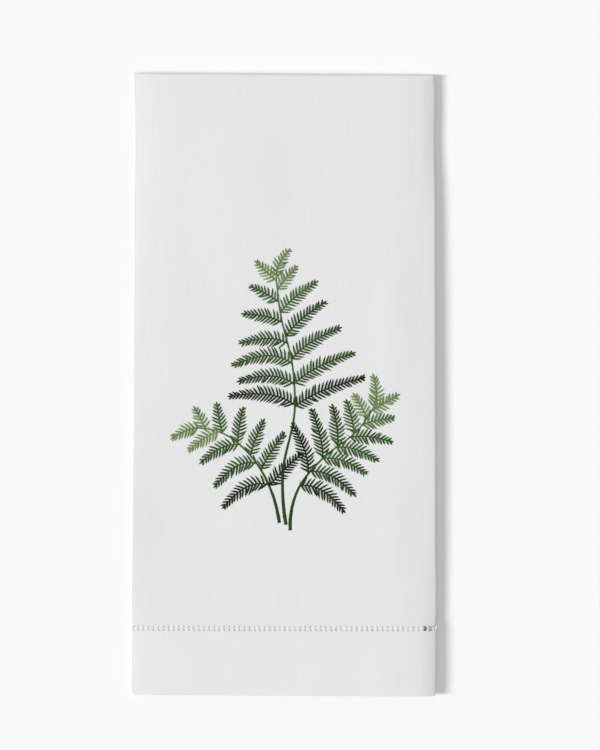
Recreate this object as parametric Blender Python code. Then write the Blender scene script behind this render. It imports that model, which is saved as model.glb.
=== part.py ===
"""Hand towel, folded in thirds across its width and then in half along its length.

The cloth is one solid. A back-and-forth section of three layers runs down the front half from
the top fold to the hem, and on round the top fold along the back half underneath. X runs across
the folded towel, Y points to the top fold, and Z is up from the surface that it lies on.
"""

import math
from typing import NamedTuple

import bmesh
import bpy

# The cloth laid flat, and the folded panel that shows
CLOTH_WIDTH = 0.5080
CLOTH_LENGTH = 0.7112
FACE_WIDTH = 0.1727
FACE_LENGTH = 0.3556

# The layers and the air between them
LAYER = 0.0010
LAYER_GAP = 0.0003
MIDDLE_GAP = 0.0005
LAYERS_PER_HALF = 3
PITCH = LAYER + LAYER_GAP
HALF_DEPTH = LAYERS_PER_HALF * LAYER + (LAYERS_PER_HALF - 1) * LAYER_GAP
STACK = 2.0 * HALF_DEPTH + MIDDLE_GAP
TOP_RADIUS = STACK / 2.0

# The hem, which is turned twice and so lies thicker than the rest
HEM_DEPTH = 0.0365
HEM_GAIN = 0.22
HEM_RAMP = 0.0060
HEM_STAGGER = 0.0005
BODY_LOFT = 0.0007

# The soft shoulder beside each long fold
SHOULDER_WIDTH = 0.0062
SHOULDER_DROP = 0.0009

# The top fold leans down to the right, and the hem's edge draws up at its corners
TOP_LEAN = 0.00075
TOP_LEAN_REACH = 0.060
HEM_BOW = 0.0006
HEM_BOW_REACH = 0.050

# The ladder of drawn threads above the hem
LADDER_PITCH = 0.00286
LADDER_HOLE_WIDTH = 0.0017
LADDER_HOLE_WAIST = 0.0013
LADDER_HOLE_HEIGHT = 0.0032
LADDER_HOLE_DEPTH = 0.0005
LADDER_RISE = 0.0022
LADDER_CUT_ABOVE = 0.0010
LADDER_SIDE_MARGIN = 0.0018

# How finely the folds and the flat stretches are divided
FOLD_STEPS = 6
TOP_FOLD_STEPS = 8
SHOULDER_STEPS = 4
FACE_STEPS = 9
INNER_STEPS = 6
FRONT_ROWS = 11
BACK_ROWS = 9
RAMP_ROWS = 4
HEM_ROWS = 2

# The cloth's colour and finish
CLOTH_COLOUR = (0.80, 0.80, 0.79, 1.0)
CLOTH_ROUGHNESS = 0.9

HALF_WIDTH = FACE_WIDTH / 2.0
TANGENT_Y = FACE_LENGTH / 2.0 - TOP_RADIUS
FRONT_REACH = FACE_LENGTH - TOP_RADIUS
BACK_REACH = CLOTH_LENGTH - FRONT_REACH - math.pi * (TOP_RADIUS - LAYER / 2.0)
FRONT_EDGE_Y = TANGENT_Y - FRONT_REACH
BACK_EDGE_Y = TANGENT_Y - BACK_REACH


class OutlineRow(NamedTuple):
    """How far each long fold stands out of the nominal outline, at one distance down."""

    down: float
    left: float
    right: float


class Swell(NamedTuple):
    """A broad soft rise of the front face, by its middle, its reach each way and its height."""

    x: float
    y: float
    reach_x: float
    reach_y: float
    height: float


class SectionPoint(NamedTuple):
    """A point on the middle of the cloth in the cross-section, with the normal of its face side."""

    x: float
    depth: float
    normal_x: float
    normal_depth: float


class Station(NamedTuple):
    """One place along the length: the distance past the top fold's tangent, or its angle."""

    reach: float
    turn: float
    front: bool


OUTLINE = (
    OutlineRow(down=0.000, left=-0.0005, right=-0.0008),
    OutlineRow(down=0.010, left=-0.0012, right=-0.0004),
    OutlineRow(down=0.035, left=-0.0015, right=-0.0007),
    OutlineRow(down=0.085, left=-0.0010, right=-0.0003),
    OutlineRow(down=0.180, left=-0.0006, right=-0.0004),
    OutlineRow(down=0.255, left=0.0000, right=-0.0002),
    OutlineRow(down=0.300, left=0.0006, right=0.0001),
    OutlineRow(down=0.317, left=0.0004, right=0.0001),
    OutlineRow(down=0.335, left=0.0007, right=0.0004),
    OutlineRow(down=0.350, left=0.0008, right=0.0001),
    OutlineRow(down=0.356, left=0.0008, right=-0.0005),
)

SWELLS = (
    Swell(x=-0.052, y=0.122, reach_x=0.042, reach_y=0.050, height=0.00022),
    Swell(x=0.042, y=0.122, reach_x=0.044, reach_y=0.050, height=0.00025),
    Swell(x=0.024, y=0.066, reach_x=0.048, reach_y=0.060, height=0.00020),
    Swell(x=0.062, y=0.050, reach_x=0.024, reach_y=0.060, height=0.00015),
    Swell(x=-0.040, y=-0.020, reach_x=0.050, reach_y=0.090, height=0.00020),
    Swell(x=0.030, y=-0.085, reach_x=0.055, reach_y=0.060, height=0.00022),
)


def smooth(value: float) -> float:
    """Ease from 0 to 1 as the value goes from 0 to 1, level at both ends."""
    held = min(max(value, 0.0), 1.0)
    return held * held * (3.0 - 2.0 * held)


def outline_offsets(down: float) -> tuple:
    """The left and right outline offsets at a distance down from the top edge."""
    for upper, lower in zip(OUTLINE, OUTLINE[1:]):
        if down <= lower.down:
            share = smooth((down - upper.down) / (lower.down - upper.down))
            left = upper.left + (lower.left - upper.left) * share
            right = upper.right + (lower.right - upper.right) * share
            return left, right
    return OUTLINE[-1].left, OUTLINE[-1].right


def hem_share(y: float, edge_y: float) -> float:
    """How far into a hem's thicker cloth a place lies, from 0 in the body to 1 in the hem."""
    return smooth((edge_y + HEM_DEPTH + HEM_RAMP / 2.0 - y) / HEM_RAMP)


def layer_gain(y: float, edge_y: float) -> float:
    """The thickness of one half's layers at a place, as a multiple of the body's."""
    return 1.0 + HEM_GAIN * hem_share(y, edge_y)


def shoulder_drop(x: float) -> float:
    """How far the top layer sinks beside the long folds."""
    from_edge = HALF_WIDTH - abs(x)
    return SHOULDER_DROP * smooth(1.0 - from_edge / SHOULDER_WIDTH) ** 2


def swell_height(x: float, y: float) -> float:
    """The soft rises of the front face at a place."""
    height = 0.0
    for swell in SWELLS:
        away = math.hypot((x - swell.x) / swell.reach_x, (y - swell.y) / swell.reach_y)
        height += swell.height * (1.0 - smooth(away))
    return height


def front_height(x: float, y: float) -> float:
    """The height of the front half's face before its shoulders sink."""
    both_halves = (layer_gain(y, FRONT_EDGE_Y) + layer_gain(y, BACK_EDGE_Y)) * HALF_DEPTH
    loft = BODY_LOFT * smooth((TANGENT_Y - y) / FRONT_REACH) * (1.0 - hem_share(y, FRONT_EDGE_Y))
    return both_halves + MIDDLE_GAP + loft + swell_height(x, y)


def sunk_depth(x: float, depth: float) -> float:
    """How far a point of the front half sinks with the shoulder, given its depth in the stack."""
    if x < 0.0:
        return shoulder_drop(x)
    return shoulder_drop(x) * max(0.0, 1.0 - depth / (HALF_DEPTH - LAYER / 2.0))


def shift_outline(x: float, y: float) -> tuple:
    """Move a nominal point in plan to the towel's own uneven outline."""
    left, right = outline_offsets(FACE_LENGTH / 2.0 - y)
    across = x / HALF_WIDTH
    new_x = x + (right if across > 0.0 else left) * across
    lean = -TOP_LEAN * across * smooth(1.0 - (FACE_LENGTH / 2.0 - y) / TOP_LEAN_REACH)
    bow = HEM_BOW * across * across * smooth(1.0 - (FACE_LENGTH / 2.0 + y) / HEM_BOW_REACH)
    return new_x, y + lean + bow


def place(point: SectionPoint, side: float, station: Station) -> tuple:
    """World position of a section point at a station.

    Args:
        point: the point on the middle of the cloth.
        side: 1 for the face side of the cloth, -1 for its reverse.
        station: where along the length the section stands.

    Returns:
        The x, y and z of the point.
    """
    x = point.x + side * point.normal_x * LAYER / 2.0
    depth = point.depth + side * point.normal_depth * LAYER / 2.0
    if station.turn > 0.0:
        facing_up = (1.0 + math.cos(station.turn)) / 2.0
        radius = TOP_RADIUS - depth - sunk_depth(x, depth) * facing_up
        y = TANGENT_Y + radius * math.sin(station.turn)
        z = TOP_RADIUS + radius * math.cos(station.turn)
        return (*shift_outline(x, y), z)
    y = TANGENT_Y - station.reach
    edge_y = FRONT_EDGE_Y if station.front else BACK_EDGE_Y
    lift = HEM_STAGGER * depth / PITCH * hem_share(y, edge_y)
    in_stack = layer_gain(y, edge_y) * depth
    if station.front:
        in_stack = front_height(x, y) - in_stack - sunk_depth(x, depth)
    return (*shift_outline(x, y + lift), in_stack)


def spread(start: float, end: float, steps: int) -> list:
    """Evenly spaced values from start up to, but not including, end."""
    return [start + (end - start) * index / steps for index in range(steps)]


def section_course() -> list:
    """The folded cross-section, from the free edge of layer 1 round both folds to that of layer 2.

    Layer 0 is the one that shows. Layer 1 hangs from the left fold and layer 2 from the right
    fold, and each ends a little short of the opposite fold.
    """
    depths = [LAYER / 2.0 + PITCH * level for level in range(LAYERS_PER_HALF)]
    left_radius = PITCH / 2.0
    right_radius = PITCH
    left_x = -HALF_WIDTH + left_radius + LAYER / 2.0
    right_x = HALF_WIDTH - right_radius - LAYER / 2.0
    face_run = right_x - left_x
    inner_run = (CLOTH_WIDTH - face_run - math.pi * (left_radius + right_radius)) / 2.0
    shoulder_in = SHOULDER_WIDTH - (HALF_WIDTH - right_x)

    course = []
    for x in spread(left_x + inner_run, left_x + shoulder_in, INNER_STEPS):
        course.append(SectionPoint(x, depths[1], 0.0, 1.0))
    for x in spread(left_x + shoulder_in, left_x, SHOULDER_STEPS):
        course.append(SectionPoint(x, depths[1], 0.0, 1.0))
    for turn in spread(0.0, math.pi, FOLD_STEPS):
        x = left_x - left_radius * math.sin(turn)
        depth = (depths[0] + depths[1]) / 2.0 + left_radius * math.cos(turn)
        course.append(SectionPoint(x, depth, -math.sin(turn), math.cos(turn)))
    for x in spread(left_x, left_x + shoulder_in, SHOULDER_STEPS):
        course.append(SectionPoint(x, depths[0], 0.0, -1.0))
    for x in spread(left_x + shoulder_in, right_x - shoulder_in, FACE_STEPS):
        course.append(SectionPoint(x, depths[0], 0.0, -1.0))
    for x in spread(right_x - shoulder_in, right_x, SHOULDER_STEPS):
        course.append(SectionPoint(x, depths[0], 0.0, -1.0))
    for turn in spread(0.0, math.pi, FOLD_STEPS):
        x = right_x + right_radius * math.sin(turn)
        depth = (depths[0] + depths[2]) / 2.0 - right_radius * math.cos(turn)
        course.append(SectionPoint(x, depth, math.sin(turn), -math.cos(turn)))
    for x in spread(right_x, right_x - inner_run, INNER_STEPS):
        course.append(SectionPoint(x, depths[2], 0.0, 1.0))
    course.append(SectionPoint(right_x - inner_run, depths[2], 0.0, 1.0))
    return course


def half_course(reach: float, body_rows: int, front: bool) -> list:
    """The stations of one half, from the top fold's tangent down to its hem's edge."""
    ramp_start = reach - HEM_DEPTH - HEM_RAMP
    ramp_end = reach - HEM_DEPTH + HEM_RAMP
    reaches = spread(0.0, ramp_start, body_rows)
    reaches += spread(ramp_start, ramp_end, RAMP_ROWS)
    reaches += spread(ramp_end, reach, HEM_ROWS)
    reaches.append(reach)
    return [Station(distance, 0.0, front) for distance in reaches]


def length_course() -> list:
    """The stations from the front hem's edge up to the top fold and back to the other hem's edge."""
    turns = [math.pi * step / TOP_FOLD_STEPS for step in range(1, TOP_FOLD_STEPS)]
    front = half_course(FRONT_REACH, FRONT_ROWS, True)
    fold = [Station(0.0, turn, True) for turn in turns]
    back = half_course(BACK_REACH, BACK_ROWS, False)
    return front[::-1] + fold + back


def cloth_mesh() -> bpy.types.Mesh:
    """Sweep the folded section along the length into one closed cloth."""
    course = section_course()
    build = bmesh.new()
    rings = []
    for station in length_course():
        face_side = [build.verts.new(place(point, 1.0, station)) for point in course]
        reverse = [build.verts.new(place(point, -1.0, station)) for point in course]
        rings.append((face_side, reverse))
    for (face_a, back_a), (face_b, back_b) in zip(rings, rings[1:]):
        ring_a = face_a + back_a[::-1]
        ring_b = face_b + back_b[::-1]
        for index in range(len(ring_a)):
            after = (index + 1) % len(ring_a)
            build.faces.new((ring_a[index], ring_a[after], ring_b[after], ring_b[index]))
    for face_side, reverse in (rings[0], rings[-1]):
        for index in range(len(course) - 1):
            corners = (face_side[index], face_side[index + 1], reverse[index + 1], reverse[index])
            build.faces.new(corners)
    bmesh.ops.recalc_face_normals(build, faces=build.faces)
    mesh = bpy.data.meshes.new("towel")
    build.to_mesh(mesh)
    build.free()
    return mesh


def hole_outline(x: float, y: float) -> list:
    """The plan of one ladder hole: a slot drawn in a little at its waist."""
    wide = LADDER_HOLE_WIDTH / 2.0
    waist = LADDER_HOLE_WAIST / 2.0
    tall = LADDER_HOLE_HEIGHT / 2.0
    plan = ((-wide, -tall), (wide, -tall), (waist, 0.0), (wide, tall), (-wide, tall), (-waist, 0.0))
    return [(x + across, y + along) for across, along in plan]


def ladder_cutter() -> bpy.types.Object:
    """The row of slots above the hem, as one cutter for the face of the cloth."""
    ladder_y = FRONT_EDGE_Y + HEM_DEPTH + LADDER_RISE
    count = int((FACE_WIDTH - 2.0 * LADDER_SIDE_MARGIN) / LADDER_PITCH) + 1
    start = -LADDER_PITCH * (count - 1) / 2.0
    build = bmesh.new()
    for index in range(count):
        x = start + LADDER_PITCH * index
        face_z = front_height(x, ladder_y) - shoulder_drop(x)
        plan = [shift_outline(*corner) for corner in hole_outline(x, ladder_y)]
        lower = [build.verts.new((*corner, face_z - LADDER_HOLE_DEPTH)) for corner in plan]
        upper = [build.verts.new((*corner, face_z + LADDER_CUT_ABOVE)) for corner in plan]
        build.faces.new(lower[::-1])
        build.faces.new(upper)
        for side in range(len(plan)):
            after = (side + 1) % len(plan)
            build.faces.new((lower[side], lower[after], upper[after], upper[side]))
    mesh = bpy.data.meshes.new("ladder_cutter")
    build.to_mesh(mesh)
    build.free()
    cutter = bpy.data.objects.new("ladder_cutter", mesh)
    bpy.context.scene.collection.objects.link(cutter)
    cutter.hide_render = True
    cutter.display_type = "WIRE"
    return cutter


def cloth_material() -> bpy.types.Material:
    """Matt white cloth."""
    material = bpy.data.materials.new("cloth")
    material.use_nodes = True
    shader = material.node_tree.nodes["Principled BSDF"]
    shader.inputs["Base Color"].default_value = CLOTH_COLOUR
    shader.inputs["Roughness"].default_value = CLOTH_ROUGHNESS
    shader.inputs["Metallic"].default_value = 0.0
    return material


def plan_middle(mesh: bpy.types.Mesh) -> tuple:
    """The middle of a mesh's box in plan."""
    across = [vertex.co.x for vertex in mesh.vertices]
    along = [vertex.co.y for vertex in mesh.vertices]
    return (min(across) + max(across)) / 2.0, (min(along) + max(along)) / 2.0


def build_towel() -> bpy.types.Object:
    """Make the folded towel and cut its ladder, centred in plan on the surface it lies on."""
    towel = bpy.data.objects.new("towel", cloth_mesh())
    bpy.context.scene.collection.objects.link(towel)
    towel.data.materials.append(cloth_material())
    cutter = ladder_cutter()
    middle_x, middle_y = plan_middle(towel.data)
    for placed in (towel, cutter):
        placed.location = (-middle_x, -middle_y, 0.0)
    cut = towel.modifiers.new("ladder", "BOOLEAN")
    cut.operation = "DIFFERENCE"
    cut.solver = "EXACT"
    cut.object = cutter
    towel.data.shade_smooth()
    towel.data.set_sharp_from_angle(angle=math.radians(40.0))
    return towel


for old in list(bpy.data.objects):
    bpy.data.objects.remove(old, do_unlink=True)

build_towel()
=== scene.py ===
"""Looks of the folded hand towel: its cloth, turned hems, ladder hemstitch and leaf embroidery.

Each piece is laid out on the flat cloth, in metres across it and along it, and the fold plan
then carries it to its place in the folded towel.
"""

from __future__ import annotations

import logging
import math
from dataclasses import dataclass, field
from enum import Enum

import bpy
import numpy as np
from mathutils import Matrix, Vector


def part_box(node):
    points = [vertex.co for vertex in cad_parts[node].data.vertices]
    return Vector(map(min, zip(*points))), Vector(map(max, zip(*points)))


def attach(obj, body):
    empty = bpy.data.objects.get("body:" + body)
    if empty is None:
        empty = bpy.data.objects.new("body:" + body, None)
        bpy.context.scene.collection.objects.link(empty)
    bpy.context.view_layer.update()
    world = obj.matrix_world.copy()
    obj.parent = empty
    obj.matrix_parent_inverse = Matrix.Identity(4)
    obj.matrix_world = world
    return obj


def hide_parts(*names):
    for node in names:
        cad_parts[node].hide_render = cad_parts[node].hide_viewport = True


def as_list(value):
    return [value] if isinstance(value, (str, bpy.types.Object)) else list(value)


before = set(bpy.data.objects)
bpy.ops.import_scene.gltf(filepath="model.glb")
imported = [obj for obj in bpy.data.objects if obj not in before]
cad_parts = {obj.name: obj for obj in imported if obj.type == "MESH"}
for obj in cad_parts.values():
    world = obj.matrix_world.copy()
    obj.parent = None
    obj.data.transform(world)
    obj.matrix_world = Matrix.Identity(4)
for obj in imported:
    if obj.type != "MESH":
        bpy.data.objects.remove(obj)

LOG = logging.getLogger("hand_towel")
PHOTO_WIDTH_PX = 600
PHOTO_HEIGHT_PX = 750
TOWEL_WIDTH_PX = 302.0


class FoldEnd(Enum):
    """The two short ends of the cloth: the one that shows and the one underneath."""

    FRONT = "front"
    BACK = "back"


class Side(Enum):
    """The two long folds of the towel, as the tables' columns name them."""

    LEFT = "left"
    RIGHT = "right"


def ease(value: np.ndarray) -> np.ndarray:
    """Ease from 0 to 1 as the value goes from 0 to 1, level at both ends."""
    held = np.clip(value, 0.0, 1.0)
    return held * held * (3.0 - 2.0 * held)


@dataclass(frozen=True)
class SideRow:
    """A measure at each long fold, at one distance down from the top edge."""

    down: float
    left: float
    right: float


@dataclass(frozen=True)
class Swell:
    """A broad soft rise of the front face, by its middle, its reach each way and its height."""

    x: float
    y: float
    reach_x: float
    reach_y: float
    height: float


@dataclass(frozen=True)
class Crease:
    """A long soft ridge of the front face, or a trough where its height is below zero.

    The heading is in degrees from the towel's width.
    """

    x: float
    y: float
    heading: float
    half_length: float
    half_width: float
    height: float


# How far each long fold stands out of the nominal outline.
OUTLINE: tuple[SideRow, ...] = (
    SideRow(down=0.000, left=-0.0009, right=0.0003),
    SideRow(down=0.010, left=-0.0015, right=0.0009),
    SideRow(down=0.035, left=-0.0018, right=0.0006),
    SideRow(down=0.085, left=-0.0014, right=0.0010),
    SideRow(down=0.180, left=-0.0010, right=0.0011),
    SideRow(down=0.255, left=-0.0005, right=0.0012),
    SideRow(down=0.300, left=0.0001, right=0.0016),
    SideRow(down=0.317, left=-0.0002, right=0.0014),
    SideRow(down=0.335, left=0.0000, right=0.0015),
    SideRow(down=0.350, left=0.0001, right=0.0014),
    SideRow(down=0.356, left=0.0001, right=0.0011),
)

SWELLS: tuple[Swell, ...] = (
    Swell(x=-0.052, y=0.122, reach_x=0.042, reach_y=0.050, height=0.00022),
    Swell(x=0.042, y=0.122, reach_x=0.044, reach_y=0.050, height=0.00025),
    Swell(x=0.024, y=0.066, reach_x=0.048, reach_y=0.060, height=0.00020),
    Swell(x=0.062, y=0.050, reach_x=0.024, reach_y=0.060, height=0.00015),
    Swell(x=-0.040, y=-0.020, reach_x=0.050, reach_y=0.090, height=0.00020),
    Swell(x=0.030, y=-0.085, reach_x=0.055, reach_y=0.060, height=0.00022),
)

# How far the front face sinks at each long fold, over the width of the broad shoulder.
BROAD_SHOULDERS: tuple[SideRow, ...] = (
    SideRow(down=0.000, left=0.0017, right=0.0017),
    SideRow(down=0.040, left=0.0019, right=0.0017),
    SideRow(down=0.075, left=0.0018, right=0.0014),
    SideRow(down=0.130, left=0.0012, right=0.0011),
    SideRow(down=0.170, left=0.0006, right=0.0011),
    SideRow(down=0.210, left=0.0000, right=0.0011),
    SideRow(down=0.260, left=-0.0011, right=0.0013),
    SideRow(down=0.300, left=-0.0001, right=0.0016),
    SideRow(down=0.330, left=0.0010, right=0.0015),
    SideRow(down=0.356, left=0.0010, right=0.0015),
)

# How much further it sinks close to each fold, over the width of the tight shoulder.
TIGHT_SHOULDERS: tuple[SideRow, ...] = (
    SideRow(down=0.000, left=0.0001, right=0.0009),
    SideRow(down=0.040, left=0.0001, right=0.0010),
    SideRow(down=0.075, left=0.0001, right=0.0002),
    SideRow(down=0.130, left=0.0001, right=0.0001),
    SideRow(down=0.210, left=0.0001, right=0.0001),
    SideRow(down=0.260, left=0.0002, right=0.0002),
    SideRow(down=0.300, left=0.0002, right=0.0006),
    SideRow(down=0.330, left=0.0002, right=0.0011),
    SideRow(down=0.356, left=0.0002, right=0.0011),
)

CREASES: tuple[Crease, ...] = (
    Crease(x=-0.022, y=0.110, heading=92.0, half_length=0.085, half_width=0.042, height=0.00100),
    Crease(x=0.002, y=0.125, heading=90.0, half_length=0.055, half_width=0.016, height=-0.00030),
    Crease(x=0.062, y=0.040, heading=88.0, half_length=0.060, half_width=0.014, height=0.00037),
    Crease(x=-0.020, y=-0.075, heading=80.0, half_length=0.035, half_width=0.022, height=0.00037),
    Crease(x=0.062, y=-0.080, heading=95.0, half_length=0.040, half_width=0.014, height=0.00037),
    Crease(x=0.009, y=-0.126, heading=100.0, half_length=0.013, half_width=0.003, height=-0.00012),
    Crease(x=-0.052, y=-0.166, heading=90.0, half_length=0.020, half_width=0.010, height=0.00025),
    Crease(x=0.020, y=-0.168, heading=84.0, half_length=0.018, half_width=0.012, height=0.00025),
    Crease(x=0.056, y=-0.164, heading=94.0, half_length=0.022, half_width=0.010, height=0.00025),
)


def side_value(rows: tuple[SideRow, ...], side: Side, down: np.ndarray) -> np.ndarray:
    """Read a table at one long fold by distance down, eased from each row to the next.

    Args:
        rows: the table, in order of distance down.
        side: the fold.
        down: distances from the top edge.

    Returns:
        The table's measure at each distance.
    """
    places = np.array([row.down for row in rows])
    values = np.array([getattr(row, side.value) for row in rows])
    upper = np.clip(np.searchsorted(places, down) - 1, 0, len(rows) - 2)
    share = ease((down - places[upper]) / (places[upper + 1] - places[upper]))
    return values[upper] + (values[upper + 1] - values[upper]) * share


@dataclass(frozen=True)
class FoldPlan:
    """The folds of the towel, which carry a point of the flat cloth to its place.

    A point of the flat cloth is given by its distance across from the middle of the panel that
    shows, its distance along from the front hem's edge, and its lift from the middle of the
    cloth towards its face side.
    """

    cloth_width: float = 0.5080
    cloth_length: float = 0.7112
    face_width: float = 0.1727
    face_length: float = 0.3559
    solid_layer: float = 0.0010
    pitch: float = 0.0013
    first_pitch: float = 0.00080
    middle_gap: float = 0.0005
    body_thickness: float = 0.00070
    hem_thickness: float = 0.00092
    hem_depth: float = 0.0365
    hem_gain: float = 0.26
    hem_ramp: float = 0.0060
    body_loft: float = 0.0007
    broad_shoulder: float = 0.0260
    broad_relief: float = 0.45
    tight_shoulder: float = 0.0085
    left_tight_relief: float = 0.7
    right_tight_relief: float = 0.5
    fold_squareness: float = 4.2
    side_squareness: float = 3.0
    # Painted shade: how quickly the cloth's colour darkens round the turn of the left fold.
    fold_shade_sharpness: float = 1.7
    second_stagger: float = 0.0040
    third_stagger: float = 0.0047
    stagger_start: float = 0.200
    stagger_run: float = 0.160
    top_lean: float = 0.00062
    top_lean_reach: float = 0.060
    hem_bow: float = 0.0003
    hem_skew: float = 0.0004
    hem_bow_reach: float = 0.060
    hem_droop: float = 0.0002
    hem_droop_reach: float = 0.0070
    uneven_sides: float = -0.0018
    opening_low: float = 0.0372
    opening_high: float = 0.0399
    opening_fill: float = 0.00058
    opening_fill_middle: float = 0.0386
    opening_fill_reach: float = 0.0021
    opening_fill_run: float = 0.0009
    middle_x: float = 0.0
    middle_y: float = 0.0

    @property
    def half_width(self) -> float:
        """Half the width of the panel that shows."""
        return self.face_width / 2.0

    @property
    def half_depth(self) -> float:
        """The depth of one half's three layers in the solid."""
        return 2.0 * self.pitch + self.solid_layer

    @property
    def top_radius(self) -> float:
        """The outer radius of the top fold."""
        return self.half_depth + self.middle_gap / 2.0

    @property
    def left_radius(self) -> float:
        """The radius of the left fold at the cloth's middle, between layers 0 and 1."""
        return self.first_pitch / 2.0

    @property
    def right_radius(self) -> float:
        """The radius of the right fold at the cloth's middle, between layers 0 and 2."""
        return self.pitch

    @property
    def left_x(self) -> float:
        """Where the left fold begins."""
        return -self.half_width + self.left_radius + self.body_thickness / 2.0

    @property
    def right_x(self) -> float:
        """Where the right fold begins."""
        return self.half_width - self.right_radius - self.body_thickness / 2.0

    @property
    def side_run(self) -> float:
        """The mean width of the side panels, from their folds to their free edges."""
        folds = math.pi * (self.left_radius + self.right_radius)
        return (self.cloth_width - (self.right_x - self.left_x) - folds) / 2.0

    @property
    def left_edge(self) -> float:
        """The free edge that the left fold turns under, on the flat cloth."""
        return self.left_x - math.pi * self.left_radius - self.side_run - self.uneven_sides

    @property
    def right_edge(self) -> float:
        """The free edge that the right fold turns under, on the flat cloth."""
        return self.right_x + math.pi * self.right_radius + self.side_run - self.uneven_sides

    @property
    def tangent_y(self) -> float:
        """Where the top fold begins."""
        return self.face_length / 2.0 - self.top_radius

    @property
    def front_reach(self) -> float:
        """The length of the front half, from its hem's edge to the top fold."""
        return self.face_length - self.top_radius

    @property
    def fold_arc(self) -> float:
        """The length of the outer layer round the top fold."""
        return math.pi * (self.top_radius - self.solid_layer / 2.0)

    @property
    def back_reach(self) -> float:
        """The length of the back half, from the top fold to its hem's edge."""
        return self.cloth_length - self.front_reach - self.fold_arc

    def hem_share(self, from_edge: np.ndarray) -> np.ndarray:
        """How far into a hem's thicker cloth a place lies, from 0 in the body to 1 in the hem."""
        return ease((self.hem_depth + self.hem_ramp / 2.0 - from_edge) / self.hem_ramp)

    def from_edge(self, along: np.ndarray) -> np.ndarray:
        """The distance from the nearer hem's edge, at a distance along the cloth."""
        return np.minimum(along, self.cloth_length - along)

    def thickness(self, along: np.ndarray) -> np.ndarray:
        """The thickness of the cloth at a distance along it."""
        extra = self.hem_thickness - self.body_thickness
        return self.body_thickness + extra * self.hem_share(self.from_edge(along))

    @staticmethod
    def square_reach(turn: np.ndarray, power: float) -> np.ndarray:
        """How far a squared-off fold stands from its middle at a turn, as a share of its radius.

        Args:
            turn: angles round the fold, from 0 where it begins to pi where it ends.
            power: how square it is, from 2 for a round fold.

        Returns:
            The shares, which are 1 at both ends and at the fold's side.
        """
        spread = np.abs(np.sin(turn)) ** power + np.abs(np.cos(turn)) ** power
        return spread ** (-1.0 / power)

    def section(self, across: np.ndarray) -> tuple[np.ndarray, ...]:
        """The folded cross-section at a distance across the flat cloth.

        Args:
            across: distances from the middle of the panel that shows.

        Returns:
            The place across the folded towel, the depth under the top layer, and the two
            components of the face side's normal.
        """
        past_left = np.maximum(self.left_x - across, 0.0)
        past_right = np.maximum(across - self.right_x, 0.0)
        left_arc = math.pi * self.left_radius
        right_arc = math.pi * self.right_radius
        left_turn = np.minimum(past_left, left_arc) / self.left_radius
        right_turn = np.minimum(past_right, right_arc) / self.right_radius
        x = np.clip(across, self.left_x, self.right_x)
        x = x - self.left_radius * np.sin(left_turn) + np.maximum(past_left - left_arc, 0.0)
        right_reach = self.right_radius * self.square_reach(right_turn, self.side_squareness)
        x = x + right_reach * np.sin(right_turn) - np.maximum(past_right - right_arc, 0.0)
        depth = self.left_radius * (1.0 - np.cos(left_turn))
        depth = depth + self.right_radius - right_reach * np.cos(right_turn)
        normal_x = np.sin(right_turn) - np.sin(left_turn)
        normal_depth = -np.cos(left_turn + right_turn)
        return x, depth, normal_x, normal_depth

    def painted_fold_shade(self, across: np.ndarray) -> np.ndarray:
        """How far into the left fold's turn a place lies, from 0 to 1: the mask of its painted
        shade.
        """
        past = np.clip(self.left_x - across, 0.0, math.pi * self.left_radius)
        return ease(self.fold_shade_sharpness * np.sin(past / self.left_radius))

    def swell_height(self, x: np.ndarray, y: np.ndarray) -> np.ndarray:
        """The soft rises of the front face.

        Args:
            x: places across the towel.
            y: places along it.

        Returns:
            The height that they add at each place.
        """
        height = np.zeros_like(x)
        for swell in SWELLS:
            away = np.hypot((x - swell.x) / swell.reach_x, (y - swell.y) / swell.reach_y)
            height += swell.height * (1.0 - ease(away))
        return height

    def front_height(self, y: np.ndarray) -> np.ndarray:
        """The height of the front half's face before its shoulders sink.

        Args:
            y: places along the towel.

        Returns:
            The height at each place.
        """
        front_share = self.hem_share(y - self.tangent_y + self.front_reach)
        back_share = self.hem_share(y - self.tangent_y + self.back_reach)
        gain = 2.0 + self.hem_gain * (front_share + back_share)
        loft = self.body_loft * ease((self.tangent_y - y) / self.front_reach)
        return gain * self.half_depth + self.middle_gap + loft * (1.0 - front_share)

    def crease_height(self, x: np.ndarray, y: np.ndarray) -> np.ndarray:
        """The soft ridges and troughs of the front face.

        Args:
            x: places across the towel.
            y: places along it.

        Returns:
            The height that they add at each place.
        """
        height = np.zeros_like(x)
        for crease in CREASES:
            turn = math.radians(crease.heading)
            onward = (x - crease.x) * math.cos(turn) + (y - crease.y) * math.sin(turn)
            aside = (y - crease.y) * math.cos(turn) - (x - crease.x) * math.sin(turn)
            away = np.hypot(onward / crease.half_length, aside / crease.half_width)
            height += crease.height * (1.0 - ease(away))
        return height

    def at_opening(self, y: np.ndarray) -> np.ndarray:
        """How near a place lies to the front ladder's opening, from 0 away from it to 1 in it."""
        away = y - self.tangent_y + self.front_reach - self.opening_fill_middle
        return ease((self.opening_fill_reach - np.abs(away)) / self.opening_fill_run)

    def sunk_depth(self, x: np.ndarray, y: np.ndarray, level: np.ndarray) -> np.ndarray:
        """How far the front half's layers sink beside the long folds.

        Args:
            x: places across the towel.
            y: places along it.
            level: depths under the top layer.

        Returns:
            The depths that they sink by.
        """
        down = self.face_length / 2.0 - y
        under = level / (2.0 * self.pitch)
        sunk = np.zeros_like(x)
        for side, sign, tight_relief in (
            (Side.LEFT, -1.0, self.left_tight_relief),
            (Side.RIGHT, 1.0, self.right_tight_relief),
        ):
            inside = self.half_width - sign * x
            for rows, shoulder, relief in (
                (BROAD_SHOULDERS, self.broad_shoulder, self.broad_relief),
                (TIGHT_SHOULDERS, self.tight_shoulder, tight_relief),
            ):
                near = np.clip(1.0 - inside / shoulder, 0.0, 1.0) ** 2
                sunk += side_value(rows, side, down) * near * (1.0 - relief * under)
        return sunk

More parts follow.
